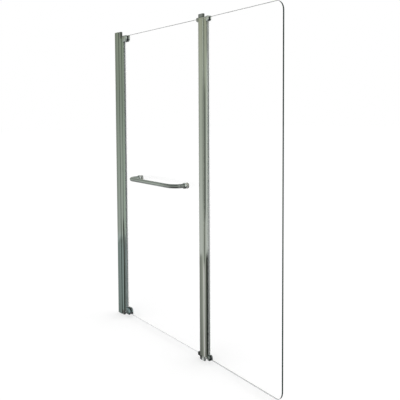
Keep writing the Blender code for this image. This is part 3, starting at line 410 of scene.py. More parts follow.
class ScreenColours(bpy.types.PropertyGroup):
    """Colours that a user would change."""

    aluminium: bpy.props.FloatVectorProperty(
        name="Polished aluminium", description="Colour of the fold post, its tube and its top cap's collar",
        default=(0.53, 0.56, 0.505), subtype="COLOR",
    )
    # A painted highlight: the satin nose drawn lighter than the post
    nose: bpy.props.FloatVectorProperty(
        name="Post nose", description="Colour of the satin nose of the fold post",
        default=(0.72, 0.76, 0.69), subtype="COLOR",
    )
    # A paler painted highlight on the nose near the floor
    nose_foot_highlight: bpy.props.FloatVectorProperty(
        name="Post nose foot", description="Colour of the same nose near the floor",
        default=(0.80, 0.80, 0.76), subtype="COLOR",
    )
    # A painted highlight down the fold tube's outer side
    tube_highlight: bpy.props.FloatVectorProperty(
        name="Bright tube", description="Colour of the fold tube down its outer side",
        default=(0.86, 0.90, 0.84), subtype="COLOR",
    )
    # Painted shade on the tubes beside their posts and on the fold post beside its nose
    painted_tube_shade: bpy.props.FloatVectorProperty(
        name="Dark tube", description="Colour of the tubes and of the fold post where they meet",
        default=(0.20, 0.22, 0.20), subtype="COLOR",
    )
    # Painted shade: the wall parts drawn darker than the fold post's aluminium
    wall_aluminium: bpy.props.FloatVectorProperty(
        name="Wall post aluminium", description="Colour of the channel and post at the wall",
        default=(0.38, 0.43, 0.375), subtype="COLOR",
    )
    # Painted shade: the wall's pivot tube drawn darker than the fold tube
    shaded_wall_tube: bpy.props.FloatVectorProperty(
        name="Wall pivot tube", description="Colour of the pivot tube at the wall",
        default=(0.42, 0.49, 0.42), subtype="COLOR",
    )
    # A bluer painted reflection at the foot of the wall parts
    wall_foot_reflection: bpy.props.FloatVectorProperty(
        name="Wall post foot", description="Colour of the channel, post and tube at the wall near the floor",
        default=(0.48, 0.60, 0.585), subtype="COLOR",
    )
    rail_chrome: bpy.props.FloatVectorProperty(
        name="Rail chrome", description="Colour of the towel rail and its back caps",
        default=(0.52, 0.565, 0.545), subtype="COLOR",
    )
    # Painted shade: chrome drawn darker on the caps, the rosettes' faces, a clamp and the rail's far bend
    dark_chrome: bpy.props.FloatVectorProperty(
        name="Dark chrome",
        description="Colour of the caps, the rosettes, the fold post's upper clamp and the rail's far bend",
        default=(0.37, 0.39, 0.375), subtype="COLOR",
    )
    # A painted highlight on the rosettes' upper rims and beside the tube on the fold foot cap
    highlight_chrome: bpy.props.FloatVectorProperty(
        name="Bright chrome", description="Colour of the rosettes' upper rims and half the fold foot cap",
        default=(0.92, 0.97, 0.95), subtype="COLOR",
    )
    shadow_chrome: bpy.props.FloatVectorProperty(
        name="Shadow chrome", description="Colour of the caps' noses and seam and the rosettes' lower rims",
        default=(0.09, 0.10, 0.09), subtype="COLOR",
    )
    # The clamp colours from here on are one chrome drawn at different depths, each a painted reflection of
    # what lies round that clamp
    wall_head_chrome: bpy.props.FloatVectorProperty(
        name="Wall head clamp", description="Colour of the top clamp at the wall",
        default=(0.49, 0.53, 0.51), subtype="COLOR",
    )
    # Painted shade: the same chrome drawn darker and bluer on the lowest wall clamp
    wall_foot_chrome: bpy.props.FloatVectorProperty(
        name="Wall foot clamp", description="Colour of the lowest clamp at the wall",
        default=(0.25, 0.32, 0.33), subtype="COLOR",
    )
    # A painted highlight: the same chrome drawn lighter on the outer leaf's top clamp
    fold_head_chrome: bpy.props.FloatVectorProperty(
        name="Fold head clamp", description="Colour of the outer leaf's top clamp",
        default=(0.68, 0.72, 0.70), subtype="COLOR",
    )
    # Painted shade: the same chrome drawn darker on the outer leaf's lowest clamp
    smoked_chrome: bpy.props.FloatVectorProperty(
        name="Smoked chrome", description="Colour of the outer leaf's lowest clamp",
        default=(0.25, 0.285, 0.275), subtype="COLOR",
    )
    # Painted shade: the same chrome drawn nearly black on the fold post's lowest clamp
    black_chrome: bpy.props.FloatVectorProperty(
        name="Black chrome", description="Colour of the lowest clamp on the fold post",
        default=(0.045, 0.05, 0.048), subtype="COLOR",
    )
    steel: bpy.props.FloatVectorProperty(
        name="Screw steel", description="Colour of the pins and screws",
        default=(0.46, 0.46, 0.45), subtype="COLOR",
    )
    glass_edge: bpy.props.FloatVectorProperty(
        name="Glass edge", description="Colour of the polished glass edge",
        default=(0.020, 0.045, 0.038), subtype="COLOR",
    )
    glass_arris: bpy.props.FloatVectorProperty(
        name="Glass arris", description="Colour of the ground chamfer",
        default=(0.022, 0.034, 0.030), subtype="COLOR",
    )
    rubber: bpy.props.FloatVectorProperty(
        name="Gasket rubber", description="Colour of the gaskets in the clamps",
        default=(0.10, 0.105, 0.11), subtype="COLOR",
    )
    nylon: bpy.props.FloatVectorProperty(
        name="Nylon", description="Colour of the bushes and washers",
        default=(0.80, 0.80, 0.77), subtype="COLOR",
    )
    seal: bpy.props.FloatVectorProperty(
        name="Clear seal", description="Tint of the clear seals",
        default=(0.90, 0.93, 0.93), subtype="COLOR",
    )


def sizes():
    """The sizes as the user has set them."""
    return bpy.context.scene.shower_screen_sizes


def colours():
    """The colours as the user has set them."""
    return bpy.context.scene.shower_screen_colours


def scaled(colour, share):
    """A colour made darker or lighter."""
    return tuple(share * part for part in colour)


def smoothing_group():
    """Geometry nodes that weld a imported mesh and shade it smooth, but sharp at real corners."""
    name = "weld_and_smooth"
    if name in bpy.data.node_groups:
        return bpy.data.node_groups[name]
    group = bpy.data.node_groups.new(name, "GeometryNodeTree")
    group.interface.new_socket("Mesh", in_out="INPUT", socket_type="NodeSocketGeometry")
    group.interface.new_socket("Mesh", in_out="OUTPUT", socket_type="NodeSocketGeometry")
    r = Recipe(group)
    packed = r.node("NodeGroupInput")
    plain = r.node("GeometryNodeRemoveAttribute", None, {0: packed, "Name": "custom_normal"})
    welded = r.node("GeometryNodeMergeByDistance", None, {"Geometry": plain, "Distance": WELD_GAP})
    faces = r.node("GeometryNodeSetShadeSmooth", {"domain": "FACE"}, {0: welded})
    corners = r.node("GeometryNodeInputMeshEdgeAngle", output="Unsigned Angle") > SMOOTH_ANGLE
    edges = r.node(
        "GeometryNodeSetShadeSmooth",
        {"domain": "EDGE"},
        {0: faces, "Selection": corners, "Shade Smooth": False},
    )
    r.node("NodeGroupOutput", None, {0: edges})
    return group


def dress(names, finish):
    """Gives CAD nodes their finish and shades their round forms smooth."""
    for name in names:
        piece = NODES[name]
        piece.data.materials.clear()
        piece.data.materials.append(finish)
        smooth = piece.modifiers.new("smooth", "NODES")
        smooth.node_group = smoothing_group()


def drawn_metal(name, colour_at, lean=0.0, satin_at=None, dull_at=None):
    """Drawn and polished aluminium: fine die lines up the length, haze and dried water spots."""
    made, r = new_finish(name)
    point = r.place()
    lines = r.grain(point, DIE_LINES, detail=3.0, roughness=0.6)
    bands = r.grain(point, DIE_BANDS)
    haze = r.noise(point, 9.0, detail=4.0, roughness=0.6)
    spots = r.node(
        "ShaderNodeTexVoronoi", {"feature": "F1"}, {"Vector": point, "Scale": 120.0, "Randomness": 1.0}
    )
    wet = r.noise(point, 14.0).step(0.56, 0.66)
    drop = (1 - spots.step(0.10, 0.22)) * wet
    across, through, height = r.split(point)
    colour = colour_at(r, across, through, height)
    streaks = (0.55 * bands + 0.45 * lines).step(0.35, 0.65)
    colour = r.blend(streaks, r.product(colour, scaled(WHITE, 0.88)), colour)
    rough = 0.025 + 0.02 * lines + 0.015 * haze.step(0.45, 0.75) + 0.10 * drop
    if satin_at:
        rough = rough + satin_at(across, through, height)
    relief = DIE_LINE_DEPTH * lines + lean * height
    r.principled({
        "Base Color": r.blend(0.25 * drop, colour, DRIED_WATER),
        "Metallic": 1 - dull_at(across, through, height) if dull_at else 1.0,
        "Roughness": rough,
        "Normal": r.bump(relief, depth=1.0),
    })
    return made


def tube_side(axis, across, through):
    """The place round a turning tube's side: -1 beside its post and 1 at its outer side."""
    reach = TUBE_OUTWARD[0] * (across - axis) + TUBE_OUTWARD[1] * through
    return (1 / TUBE_RADIUS) * reach


def nose_foot(height):
    """1 below the height where the nose of the fold post takes its paler painted highlight and duller metal.
    """
    return 1 - height.step(*NOSE_FOOT_STEP)


def on_nose(across, through, height):
    """1 on the rounded nose of the fold post, beside the pivot tube, which carries a painted highlight; it
    is wider near the floor.
    """
    return (across > NOSE_START) * (through < NOSE_BACK + NOSE_WIDENS * nose_foot(height))


def fold_aluminium():
    """The fold post: bright metal with a satin nose lightened by a painted highlight, paler and dull near
    the floor, and painted shade beside the nose.
    """

    def colour_at(r, across, through, height):
        # Painted shade in a strip beside the nose, in the tubes' shade colour, between two heights
        nose_shade = height.band(*NOSE_SHADE_BAND) * (across > NOSE_SHADE_START) * (through < NOSE_BACK)
        # The nose's lighter colour, paler near the floor, is a painted highlight
        nose = r.blend(nose_foot(height), colours().nose, colours().nose_foot_highlight)
        colour = r.blend(on_nose(across, through, height), colours().aluminium, nose)
        return r.blend(NOSE_SHADE_STRENGTH * nose_shade, colour, colours().painted_tube_shade)

    def satin_at(across, through, height):
        return NOSE_SATIN * on_nose(across, through, height)

    def dull_at(across, through, height):
        return NOSE_FOOT_DULLNESS * on_nose(across, through, height) * nose_foot(height)

    return drawn_metal("fold_aluminium", colour_at, satin_at=satin_at, dull_at=dull_at)


def tube_aluminium():
    """The turning tube at the fold: a painted highlight down its outer side and painted shade beside the
    post.
    """

    def colour_at(r, across, through, height):
        side = tube_side(FOLD_AXIS, across, through)
        light = side.step(*FOLD_HIGHLIGHT_SIDE) * height.band(*TUBE_HIGHLIGHT_BAND)
        shade = side.band(*FOLD_SHADE_SIDE) * height.band(*TUBE_SHADE_BAND)
        colour = r.blend(light, colours().aluminium, colours().tube_highlight)
        return r.blend(shade, colour, colours().painted_tube_shade)

    return drawn_metal("tube_aluminium", colour_at)


def wall_colour(r, height, base):
    """A metal colour of the wall parts, darker as painted shade, bluer near the floor as a painted
    reflection, and a little darker towards the top as painted shade.
    """
    upright = r.blend(height.step(*WALL_TOP_STEP), base, scaled(base, WALL_TOP_SHADE_SHARE))
    return r.blend(height.step(*WALL_FOOT_STEP), colours().wall_foot_reflection, upright)


def wall_aluminium():
    """The channel and the post at the wall, whose faces lean by less than two degrees; their darker colour
    is painted shade.
    """

    def colour_at(r, across, through, height):
        return wall_colour(r, height, colours().wall_aluminium)

    return drawn_metal("wall_aluminium", colour_at, lean=WALL_POST_LEAN)


def wall_tube_aluminium():
    """The turning tube at the wall: painted shade beside the post near the floor, and paler, duller metal
    down its outer side.
    """

    def tube_foot(height):
        return 1 - height.step(*WALL_TUBE_FOOT_STEP)

    def colour_at(r, across, through, height):
        beside_post = 1 - tube_side(WALL_AXIS, across, through).step(*WALL_SHADE_SIDE)
        upright = wall_colour(r, height, colours().shaded_wall_tube)
        return r.blend(tube_foot(height) * beside_post, upright, colours().painted_tube_shade)

    def dull_at(across, through, height):
        outer_side = tube_side(WALL_AXIS, across, through).step(*WALL_PALE_SIDE)
        return WALL_TUBE_DULLNESS * outer_side * tube_foot(height)

    return drawn_metal("wall_tube_aluminium", colour_at, lean=WALL_TUBE_LEAN, dull_at=dull_at)


def plated(name, colour_at):
    """Bright chrome plate: faint orange peel, hair scratches from cleaning and a little haze."""
    made, r = new_finish(name)
    point = r.place()
    peel = r.noise(point, 420.0)
    scratch = r.grain(point, HAIR_SCRATCHES)
    haze = r.noise(point, 30.0, detail=3.0)
    base = colour_at(r, *r.split(point))
    r.principled({
        "Base Color": r.blend(haze.step(0.3, 0.7), r.product(base, scaled(WHITE, 0.90)), base),
        "Metallic": 1.0,
        "Roughness": 0.04 + 0.04 * haze.step(0.4, 0.7) + 0.05 * scratch.step(0.62, 0.75),
        "Normal": r.bump(peel + 0.3 * scratch, PLATING_DEPTH),
    })
    return made


def plain_chrome(name):
    """Chrome plate of one depth, in the user's colour of that name; each such depth is painted shade or a
    painted highlight.
    """
    depth = getattr(colours(), name)
    return plated(name, lambda r, across, through, height: depth)


def rail_chrome():
    """The towel rail, with painted shade round its far bend."""

    def colour_at(r, across, through, height):
        return r.blend(across.step(*RAIL_BEND_STEP), colours().rail_chrome, colours().dark_chrome)

    return plated("rail_chrome", colour_at)


def rosette_chrome():
    """The rail's rosettes: faces in darker chrome as painted shade, a painted highlight on the rims where
    they face up, and painted shade under the rims.
    """

    def colour_at(r, across, through, height):
        rim = through > ROSETTE_RIM_START
        colour = r.blend(rim * (height > 0.0), colours().dark_chrome, colours().highlight_chrome)
        underside = ROSETTE_UNDERSIDE_SHADE * rim * (height < ROSETTE_UNDERSIDE)
        return r.blend(underside, colour, colours().shadow_chrome)

    return plated("rosette_chrome", colour_at)


def cap_chrome(name, nose_start, collar_top=None):
    """A top cap in darker chrome as painted shade, with deeper painted shade on its nose. A collar, where it
    has one, is like the post, with painted shade along the seam on top.
    """

    def colour_at(r, across, through, height):
        nose = CAP_NOSE_SHADE * (across > nose_start)
        colour = r.blend(nose, colours().dark_chrome, colours().shadow_chrome)
        if collar_top is None:
            return colour
        collar = height < collar_top
        seam = collar * (height > collar_top - SEAM_HEIGHT) * (across > SEAM_START)
        colour = r.blend(collar, colour, colours().aluminium)
        return r.blend(seam, colour, colours().shadow_chrome)

    return plated(name, colour_at)


def fold_foot_chrome():
    """The fold post's foot cap: painted shade towards the wall and a painted highlight beside the tube."""

    def colour_at(r, across, through, height):
        return r.blend(across.step(*FOOT_CAP_STEP), colours().shadow_chrome, colours().highlight_chrome)

    return plated("fold_foot_chrome", colour_at)


def turned_steel():
    """Turned stainless steel with fine cutting marks and a duller face."""
    made, r = new_finish("turned_steel")
    point = r.place()
    marks = r.grain(point, TURNING_MARKS)
    haze = r.noise(point, 150.0, detail=3.0)
    base = colours().steel
    r.principled({
        "Base Color": r.blend(haze.step(0.35, 0.65), scaled(base, 0.75), base),
        "Metallic": 1.0,
        "Roughness": 0.22 + 0.12 * marks + 0.08 * haze,
        "Normal": r.bump(marks, TURNING_DEPTH, strength=0.8),
    })
    return made


def gasket_rubber():
    """Moulded rubber with a fine grain and a paler bloom."""
    made, r = new_finish("gasket_rubber")
    point = r.place()
    grain = r.noise(point, 2200.0, detail=3.0)
    bloom = r.noise(point, 120.0, detail=3.0)
    base = colours().rubber
    r.principled({
        "Base Color": r.blend(bloom.step(0.4, 0.7), base, scaled(base, 1.35)),
        "Roughness": 0.55 + 0.2 * bloom,
        "Normal": r.bump(grain, RUBBER_DEPTH, strength=0.6),
    })
    return made


def bush_nylon():
    """White nylon, slightly yellowed in patches."""
    made, r = new_finish("bush_nylon")
    point = r.place()
    grain = r.noise(point, 1500.0)
    age = r.noise(point, 60.0, detail=3.0)
    base = colours().nylon
    aged = tuple(part * share for part, share in zip(base, YELLOWED))
    r.principled({
        "Base Color": r.blend(age.step(0.45, 0.75), base, aged),
        "Roughness": 0.38 + 0.15 * age,
        "Normal": r.bump(grain, NYLON_DEPTH, strength=0.5),
        "Subsurface Weight": 0.15,
        "Subsurface Radius": (0.002, 0.002, 0.0015),
    })
    return made


def leaf_glass():
    """Toughened glass as a thin sheet: a clear view through, and mirror gloss that grows at low angles."""
    made, r = new_finish("leaf_glass")
    low_angle = r.node("ShaderNodeLayerWeight", None, {"Blend": 0.5}, output="Facing")
    shine = FACING_SHINE + GRAZING_SHINE * low_angle**5
    wiped = r.grain(r.place(), WIPE_MARKS, detail=4.0, roughness=0.6).step(0.5, 0.75)
    r.principled({
        "Base Color": WHITE,
        "Metallic": 1.0,
        "Roughness": 0.0,
        "Alpha": shine * (1.0 + 0.06 * wiped),
    })
    return made


def leaf_rim():
    """The polished flat of the glass edge: dark green outside, clear where it mirrors from within.

    Along the top of the inner leaf and the bottom of the outer leaf it lets less through from within, so
    more of its dark tint shows there.
    """
    made, r = new_finish("leaf_rim")
    point = r.place()
    wave = r.grain(point, EDGE_WAVES)
    tint = colours().glass_edge
    across, through, height = r.split(point)
    inner_top = (height > TOP_EDGE) * (across < LEAVES_PART)
    outer_bottom = (height < BOTTOM_EDGE) * (across > LEAVES_PART)
    rim_opacity = TOP_EDGE_OPACITY * inner_top + BOTTOM_EDGE_OPACITY * outer_bottom
    from_within = r.node("ShaderNodeFresnel", None, {"IOR": RIM_IOR}).step(0.5, 0.9)
    r.principled({
        "Base Color": r.blend(wave.step(0.35, 0.65), scaled(tint, 0.85), tint),
        "Roughness": 0.08 + 0.04 * wave,
        "IOR": GLASS_IOR,
        "Alpha": 1 - from_within * (1 - rim_opacity),
        "Normal": r.bump(wave, EDGE_WAVE_DEPTH, strength=0.5),
    })
    return made


def leaf_arris():
    """The ground chamfers along the glass edge."""
    made, r = new_finish("leaf_arris")
    ground = r.noise(r.place(), 1500.0)
    tint = colours().glass_arris
    r.principled({
        "Base Color": r.blend(ground.step(0.35, 0.65), tint, scaled(tint, 1.3)),
        "Roughness": 0.35 + 0.12 * ground,
        "IOR": GLASS_IOR,
        "Specular IOR Level": 0.2,
        "Normal": r.bump(ground, GROUND_DEPTH, strength=0.5),
    })
    return made


def edge_seal():
    """Clear flexible seal, drawn through a die: nearly unseen against a pale room."""
    made, r = new_finish("edge_seal")
    point = r.place()
    draw = r.grain(point, SEAL_LINES)
    dust = r.noise(point, 40.0, detail=3.0)
    base = colours().seal
    r.principled({
        "Base Color": r.blend(draw.step(0.3, 0.7), scaled(base, 0.93), base),
        "Roughness": 0.22 + 0.06 * draw,
        "Alpha": 0.10 + 0.04 * dust,
        "Normal": r.bump(draw, SEAL_LINE_DEPTH, strength=0.5),
    })
    return made


MADE = {}


def shared(maker, *values):
    """The finish that this function makes from these values, made once."""
    key = (maker, *values)
    if key not in MADE:
        MADE[key] = maker(*values)
    return MADE[key]


class SCREEN_OT_posts(bpy.types.Operator):
    """Finishes the wall channel, both posts and both pivot tubes."""

    bl_idname = "screen_finish.posts"
    bl_label = "Posts and tubes"

    def execute(self, context):
        dress(("wall_channel", "wall_post"), shared(wall_aluminium))
        dress(("inner_pivot_tube",), shared(wall_tube_aluminium))
        dress(("fold_post",), shared(fold_aluminium))
        dress(("outer_pivot_tube",), shared(tube_aluminium))
        return {"FINISHED"}


class SCREEN_OT_caps(bpy.types.Operator):
    """Finishes the end caps of both posts."""

    bl_idname = "screen_finish.caps"
    bl_label = "End caps"

    def execute(self, context):
        wall_head = shared(cap_chrome, "wall_cap_chrome", WALL_CAP_NOSE)
        fold_head = shared(cap_chrome, "fold_cap_chrome", FOLD_CAP_NOSE, FOLD_COLLAR_TOP)
        dress(("wall_post_cap_top",), wall_head)
        dress(("wall_post_cap_bottom",), shared(plain_chrome, "dark_chrome"))
        dress(("fold_post_cap_top",), fold_head)
        dress(("fold_post_cap_bottom",), shared(fold_foot_chrome))
        return {"FINISHED"}


class SCREEN_OT_clamps(bpy.types.Operator):
    """Finishes the glass clamps and their gaskets."""

    bl_idname = "screen_finish.clamps"
    bl_label = "Clamps and gaskets"

    def execute(self, context):
        # Each clamp gets its own depth of one chrome: painted shade on the darker ones, a painted highlight
        # on the outer leaf's top clamp
        dress(WALL_HEAD_CLAMP_NODES, shared(plain_chrome, "wall_head_chrome"))
        dress(WALL_FOOT_CLAMP_NODES, shared(plain_chrome, "wall_foot_chrome"))
        dress(("outer_clamp_top",), shared(plain_chrome, "fold_head_chrome"))
        dress(("outer_clamp_bottom",), shared(plain_chrome, "smoked_chrome"))
        dress(("fixed_clamp_top",), shared(plain_chrome, "dark_chrome"))
        dress(("fixed_clamp_bottom",), shared(plain_chrome, "black_chrome"))
        dress(GASKET_NODES, shared(gasket_rubber))
        return {"FINISHED"}


class SCREEN_OT_pivots(bpy.types.Operator):
    """Finishes the pivot pins and the bushes they turn in."""

    bl_idname = "screen_finish.pivots"
    bl_label = "Pivot pins and bushes"

    def execute(self, context):
        dress(PIN_NODES, shared(turned_steel))
        dress(BUSH_NODES, shared(bush_nylon))
        return {"FINISHED"}


class SCREEN_OT_screws(bpy.types.Operator):
    """Finishes the clamp screws and the channel screws."""

    bl_idname = "screen_finish.screws"
    bl_label = "Screws"

    def execute(self, context):
        dress(CLAMP_SCREW_NODES + CHANNEL_SCREW_NODES, shared(turned_steel))
        return {"FINISHED"}


class SCREEN_OT_rail(bpy.types.Operator):
    """Finishes the towel rail and its fixings."""

    bl_idname = "screen_finish.rail"
    bl_label = "Towel rail"

    def execute(self, context):
        dress(RAIL_NODES, shared(rail_chrome))
        dress(ROSETTE_NODES, shared(rosette_chrome))
        dress(WASHER_NODES, shared(bush_nylon))
        return {"FINISHED"}


class SCREEN_OT_glass(bpy.types.Operator):
    """Finishes both glass leaves with clear faces and ground edges."""

    bl_idname = "screen_finish.glass"
    bl_label = "Glass leaves"

    def execute(self, context):
        for name in ("inner_glass", "outer_glass"):
            leaf = glass_leaf(name)
        return {"FINISHED"}


def glass_leaf(name):
    """A copy of a leaf with a ground chamfer along every edge."""
    source = NODES[name]
    bm = bmesh.new()
    bm.from_mesh(source.data)
    bmesh.ops.remove_doubles(bm, verts=bm.verts, dist=WELD_GAP)
    bmesh.ops.dissolve_limit(bm, angle_limit=GLASS_FLAT_ANGLE, verts=bm.verts, edges=bm.edges)
    rims = [edge for edge in bm.edges if edge.calc_face_angle(0) > GLASS_RIM_ANGLE]
    bmesh.ops.bevel(
        bm, geom=rims, offset=sizes().arris_width, segments=2, profile=0.5, affect="EDGES",
        clamp_overlap=True,
    )
    bm.normal_update()
    mesh = bpy.data.meshes.new(f"{name}_leaf")
    for maker in (leaf_glass, leaf_rim, leaf_arris):
        mesh.materials.append(shared(maker))
    for face in bm.faces:
        through = abs(face.normal.y)
        if through > CLEAR_SHARE:
            face.material_index = CLEAR_SLOT
        else:
            face.material_index = RIM_SLOT if through < RIM_SHARE else ARRIS_SLOT
    bm.to_mesh(mesh)
    bm.free()
    mesh.set_sharp_from_angle(angle=SMOOTH_ANGLE)
    for face in mesh.polygons:
        face.use_smooth = face.material_index != CLEAR_SLOT
    leaf = bpy.data.objects.new(f"{name}_leaf", mesh)
    bpy.context.scene.collection.objects.link(leaf)
    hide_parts(name)
    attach(leaf, source["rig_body"])
    return leaf


class SCREEN_OT_seals(bpy.types.Operator):
    """Finishes the clear seals on the upright glass edges."""

    bl_idname = "screen_finish.seals"
    bl_label = "Seals"

    def execute(self, context):
        dress(SEAL_NODES, shared(edge_seal))
        return {"FINISHED"}


class SCREEN_OT_stage(bpy.types.Operator):
    """Sets the floor, the studio surroundings, the soft lamp and the camera."""

    bl_idname = "screen_finish.stage"
    bl_label = "Studio"

    def execute(self, context):
        context.scene.view_settings.view_transform = "Standard"
        set_floor()
        set_surroundings()
        set_lamp()
        set_camera()
        return {"FINISHED"}


FLOOR_COLOUR = (0.52, 0.52, 0.52)
FLOOR_GLOW = 0.50


def set_floor():
    """A pale floor under the posts. Its glow is seen as white, and lights nothing."""
    low = CAD_BOX[0].z - sizes().floor_drop
    bm = bmesh.new()
    bmesh.ops.create_grid(bm, x_segments=1, y_segments=1, size=sizes().floor_reach)
    bmesh.ops.translate(bm, verts=bm.verts, vec=(0, 0, low))
    mesh = bpy.data.meshes.new("floor")
    bm.to_mesh(mesh)
    bm.free()
    floor = bpy.data.objects.new("floor", mesh)
    bpy.context.scene.collection.objects.link(floor)
    made, r = new_finish("pale_floor")
    base = r.node("ShaderNodeBsdfDiffuse", None, {"Color": FLOOR_COLOUR})
    glow = r.node("ShaderNodeEmission", None, {"Color": WHITE, "Strength": FLOOR_GLOW})
    path = r.node("ShaderNodeLightPath", output="Is Diffuse Ray")
    lift = r.node("ShaderNodeMixShader", None, {0: path, 1: glow})
    r.surface(r.node("ShaderNodeAddShader", None, {0: base, 1: lift}))
    mesh.materials.append(made)
    floor.visible_glossy = False


# Greys of the studio's soft panels, by direction in degrees from +X: the upper ring, the lower ring and the
# ring below that
UPPER_TONES = (
    (-180, 0.58),
    (-165, 0.57),
    (-156, 0.63),
    (-149, 0.81),
    (-143, 0.84),
    (-137, 0.76),
    (-130, 0.77),
    (-100, 0.76),
    (-75, 0.68),
    (-45, 0.80),
    (-20, 0.90),
    (45, 0.90),
    (75, 0.85),
    (110, 0.75),
    (145, 0.66),
    (180, 0.58),
)
LOWER_TONES = (
    (-180, 0.52),
    (-165, 0.42),
    (-156, 0.32),
    (-149, 0.40),
    (-143, 0.46),
    (-137, 0.62),
    (-130, 0.88),
    (-118, 0.86),
    (-100, 0.48),
    (-75, 0.02),
    (-20, 0.02),
    (0, 0.16),
    (20, 0.05),
    (45, 0.02),
    (75, 0.14),
    (110, 0.21),
    (145, 0.30),
    (180, 0.52),
)
DEEP_TONES = (
    (-180, 0.70),
    (-150, 0.64),
    (-132, 0.34),
    (-115, 0.16),
    (20, 0.14),
    (50, 0.18),
    (90, 0.34),
    (140, 0.52),
    (180, 0.70),
)
CEILING_TONE = (0.25, 0.28, 0.26)

# Tints of the panels by height in degrees
UPPER_TINTS = (
    (-14, (0.985, 1.00, 0.995)),
    (-8, (0.90, 0.93, 0.90)),
    (-1, (0.79, 0.83, 0.765)),
    (5, (0.79, 0.82, 0.72)),
    (9, (0.72, 0.73, 0.61)),
    (16, (0.66, 0.69, 0.64)),
)
LOWER_TINTS = (
    (-24, (0.54, 0.55, 0.52)),
    (-19, (0.88, 0.91, 0.86)),
    (-14, (0.97, 1.00, 0.94)),
)

# Heights in degrees where one ring gives way to the next
DEEP_STEP = (-32, -25)
RING_STEP = (-14.0, -13.4)
CEILING_STEP = (25, 40)


def ring(r, azimuth, tones):
    """The greys of one ring of panels, by a direction from 0 to 1 round the screen."""
    stops = [((angle + 180) / 360, (tone, tone, tone)) for angle, tone in tones]
    return r.node("ShaderNodeValToRGB", {"stops": stops}, {"Fac": azimuth})


def climb(r, height, tints):
    """The tints of a ring, by height in degrees."""
    stops = [((angle + 90) / 180, tint) for angle, tint in tints]
    return r.node("ShaderNodeValToRGB", {"stops": stops}, {"Fac": height / 180 + 0.5})


def set_surroundings():
    """White for the camera and the glass, plain light for the rest, and the panels for the metal."""
    world = bpy.data.worlds.new("studio")
    world.use_nodes = True
    bpy.context.scene.world = world
    r = Recipe(world.node_tree)
    x, y, z = r.split(r.node("ShaderNodeTexCoord", output="Generated"))
    azimuth = y.maths("ARCTAN2", y, x) / (2 * math.pi) + 0.5
    height = z.maths("ARCSINE", z) * (180 / math.pi)
    upper = r.product(ring(r, azimuth, UPPER_TONES), climb(r, height, UPPER_TINTS))
    lower = r.product(ring(r, azimuth, LOWER_TONES), climb(r, height, LOWER_TINTS))
    lower = r.blend(height.step(*DEEP_STEP), ring(r, azimuth, DEEP_TONES), lower)
    upper = r.blend(height.step(*CEILING_STEP), upper, CEILING_TONE)
    panels = r.blend(height.step(*RING_STEP), lower, upper)
    glossy = r.node("ShaderNodeLightPath", output="Is Glossy Ray")
    mirror = r.node("ShaderNodeLightPath", output="Is Singular Ray")
    colour = r.blend(glossy * (1 - mirror), WHITE, panels)
    background = r.node("ShaderNodeBackground", None, {"Color": colour, "Strength": 1.0})
    r.node("ShaderNodeOutputWorld", None, {"Surface": background})


# The lamp's side and places in metres, and its power in watts
LAMP_SIDE = 2.4
LAMP_POWER = 12.0
LAMP_PLACE = (1.6, -2.6, 2.6)
LAMP_AIM = (0.6, 0.0, 0.0)


def set_lamp():
    """One soft panel in front of the screen and above it, which no surface mirrors."""
    lamp = bpy.data.lights.new("soft_panel", "AREA")
    lamp.shape = "SQUARE"
    lamp.size = LAMP_SIDE
    lamp.energy = LAMP_POWER
    panel = bpy.data.objects.new("soft_panel", lamp)
    panel.location = LAMP_PLACE
    aim = Vector(LAMP_AIM) - panel.location
    panel.rotation_euler = aim.to_track_quat("-Z", "Y").to_euler()
    panel.visible_glossy = False
    panel.visible_camera = False
    bpy.context.scene.collection.objects.link(panel)


# The camera's sensor in millimetres, and the nearest and furthest that it sees in metres
SENSOR_WIDTH = 36.0
NEAREST = 0.01
FURTHEST = 200.0


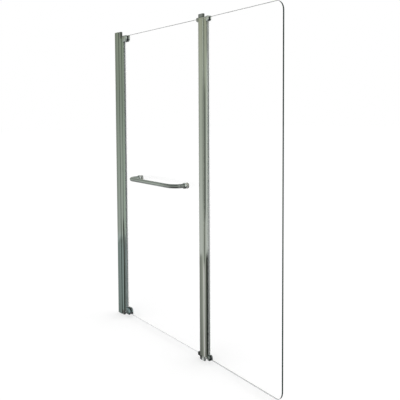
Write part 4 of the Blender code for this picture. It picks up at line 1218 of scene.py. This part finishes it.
def set_camera():
    """The camera at the photograph's viewing angle."""
    yaw, pitch, roll = sizes().camera_turn
    ahead = Vector((-math.sin(yaw), math.cos(yaw), 0))
    right = Vector((math.cos(yaw), math.sin(yaw), 0))
    up = Vector((0, 0, 1))
    forward = math.cos(pitch) * ahead - math.sin(pitch) * up
    above = math.sin(pitch) * ahead + math.cos(pitch) * up
    side = math.cos(roll) * right + math.sin(roll) * above
    above = math.cos(roll) * above - math.sin(roll) * right
    data = bpy.data.cameras.new("camera")
    data.sensor_width = SENSOR_WIDTH
    data.lens = sizes().lens
    data.shift_y = sizes().frame_shift
    data.clip_start = NEAREST
    data.clip_end = FURTHEST
    camera = bpy.data.objects.new("camera", data)
    turn = Matrix((side, above, -forward)).transposed()
    camera.matrix_world = Matrix.Translation(sizes().camera_place) @ turn.to_4x4()
    bpy.context.scene.collection.objects.link(camera)
    bpy.context.scene.camera = camera


class SCREEN_PT_finishes(bpy.types.Panel):
    """Lists the finishing steps, the sizes and the colours."""

    bl_idname = "SCREEN_PT_finishes"
    bl_label = "Shower screen"
    bl_space_type = "VIEW_3D"
    bl_region_type = "UI"
    bl_category = "Shower screen"

    def draw(self, context):
        column = self.layout.column()
        for step in STEPS:
            column.operator(step.bl_idname)
        for name in ScreenSizes.__annotations__:
            column.prop(context.scene.shower_screen_sizes, name)
        for name in ScreenColours.__annotations__:
            column.prop(context.scene.shower_screen_colours, name)


STEPS = (
    SCREEN_OT_posts,
    SCREEN_OT_caps,
    SCREEN_OT_clamps,
    SCREEN_OT_pivots,
    SCREEN_OT_screws,
    SCREEN_OT_rail,
    SCREEN_OT_glass,
    SCREEN_OT_seals,
    SCREEN_OT_stage,
)
CLASSES = (ScreenSizes, ScreenColours) + STEPS + (SCREEN_PT_finishes,)


def register():
    """Registers the classes and the settings that the scene holds."""
    for made in CLASSES:
        bpy.utils.register_class(made)
    bpy.types.Scene.shower_screen_sizes = bpy.props.PointerProperty(type=ScreenSizes)
    bpy.types.Scene.shower_screen_colours = bpy.props.PointerProperty(type=ScreenColours)


def unregister():
    """Takes the settings and the classes away again."""
    del bpy.types.Scene.shower_screen_colours
    del bpy.types.Scene.shower_screen_sizes
    for made in reversed(CLASSES):
        bpy.utils.unregister_class(made)


def main():
    """Runs every step."""
    register()
    for step in STEPS:
        group, name = step.bl_idname.split(".")
        getattr(getattr(bpy.ops, group), name)()


if __name__ == "__main__":
    main()
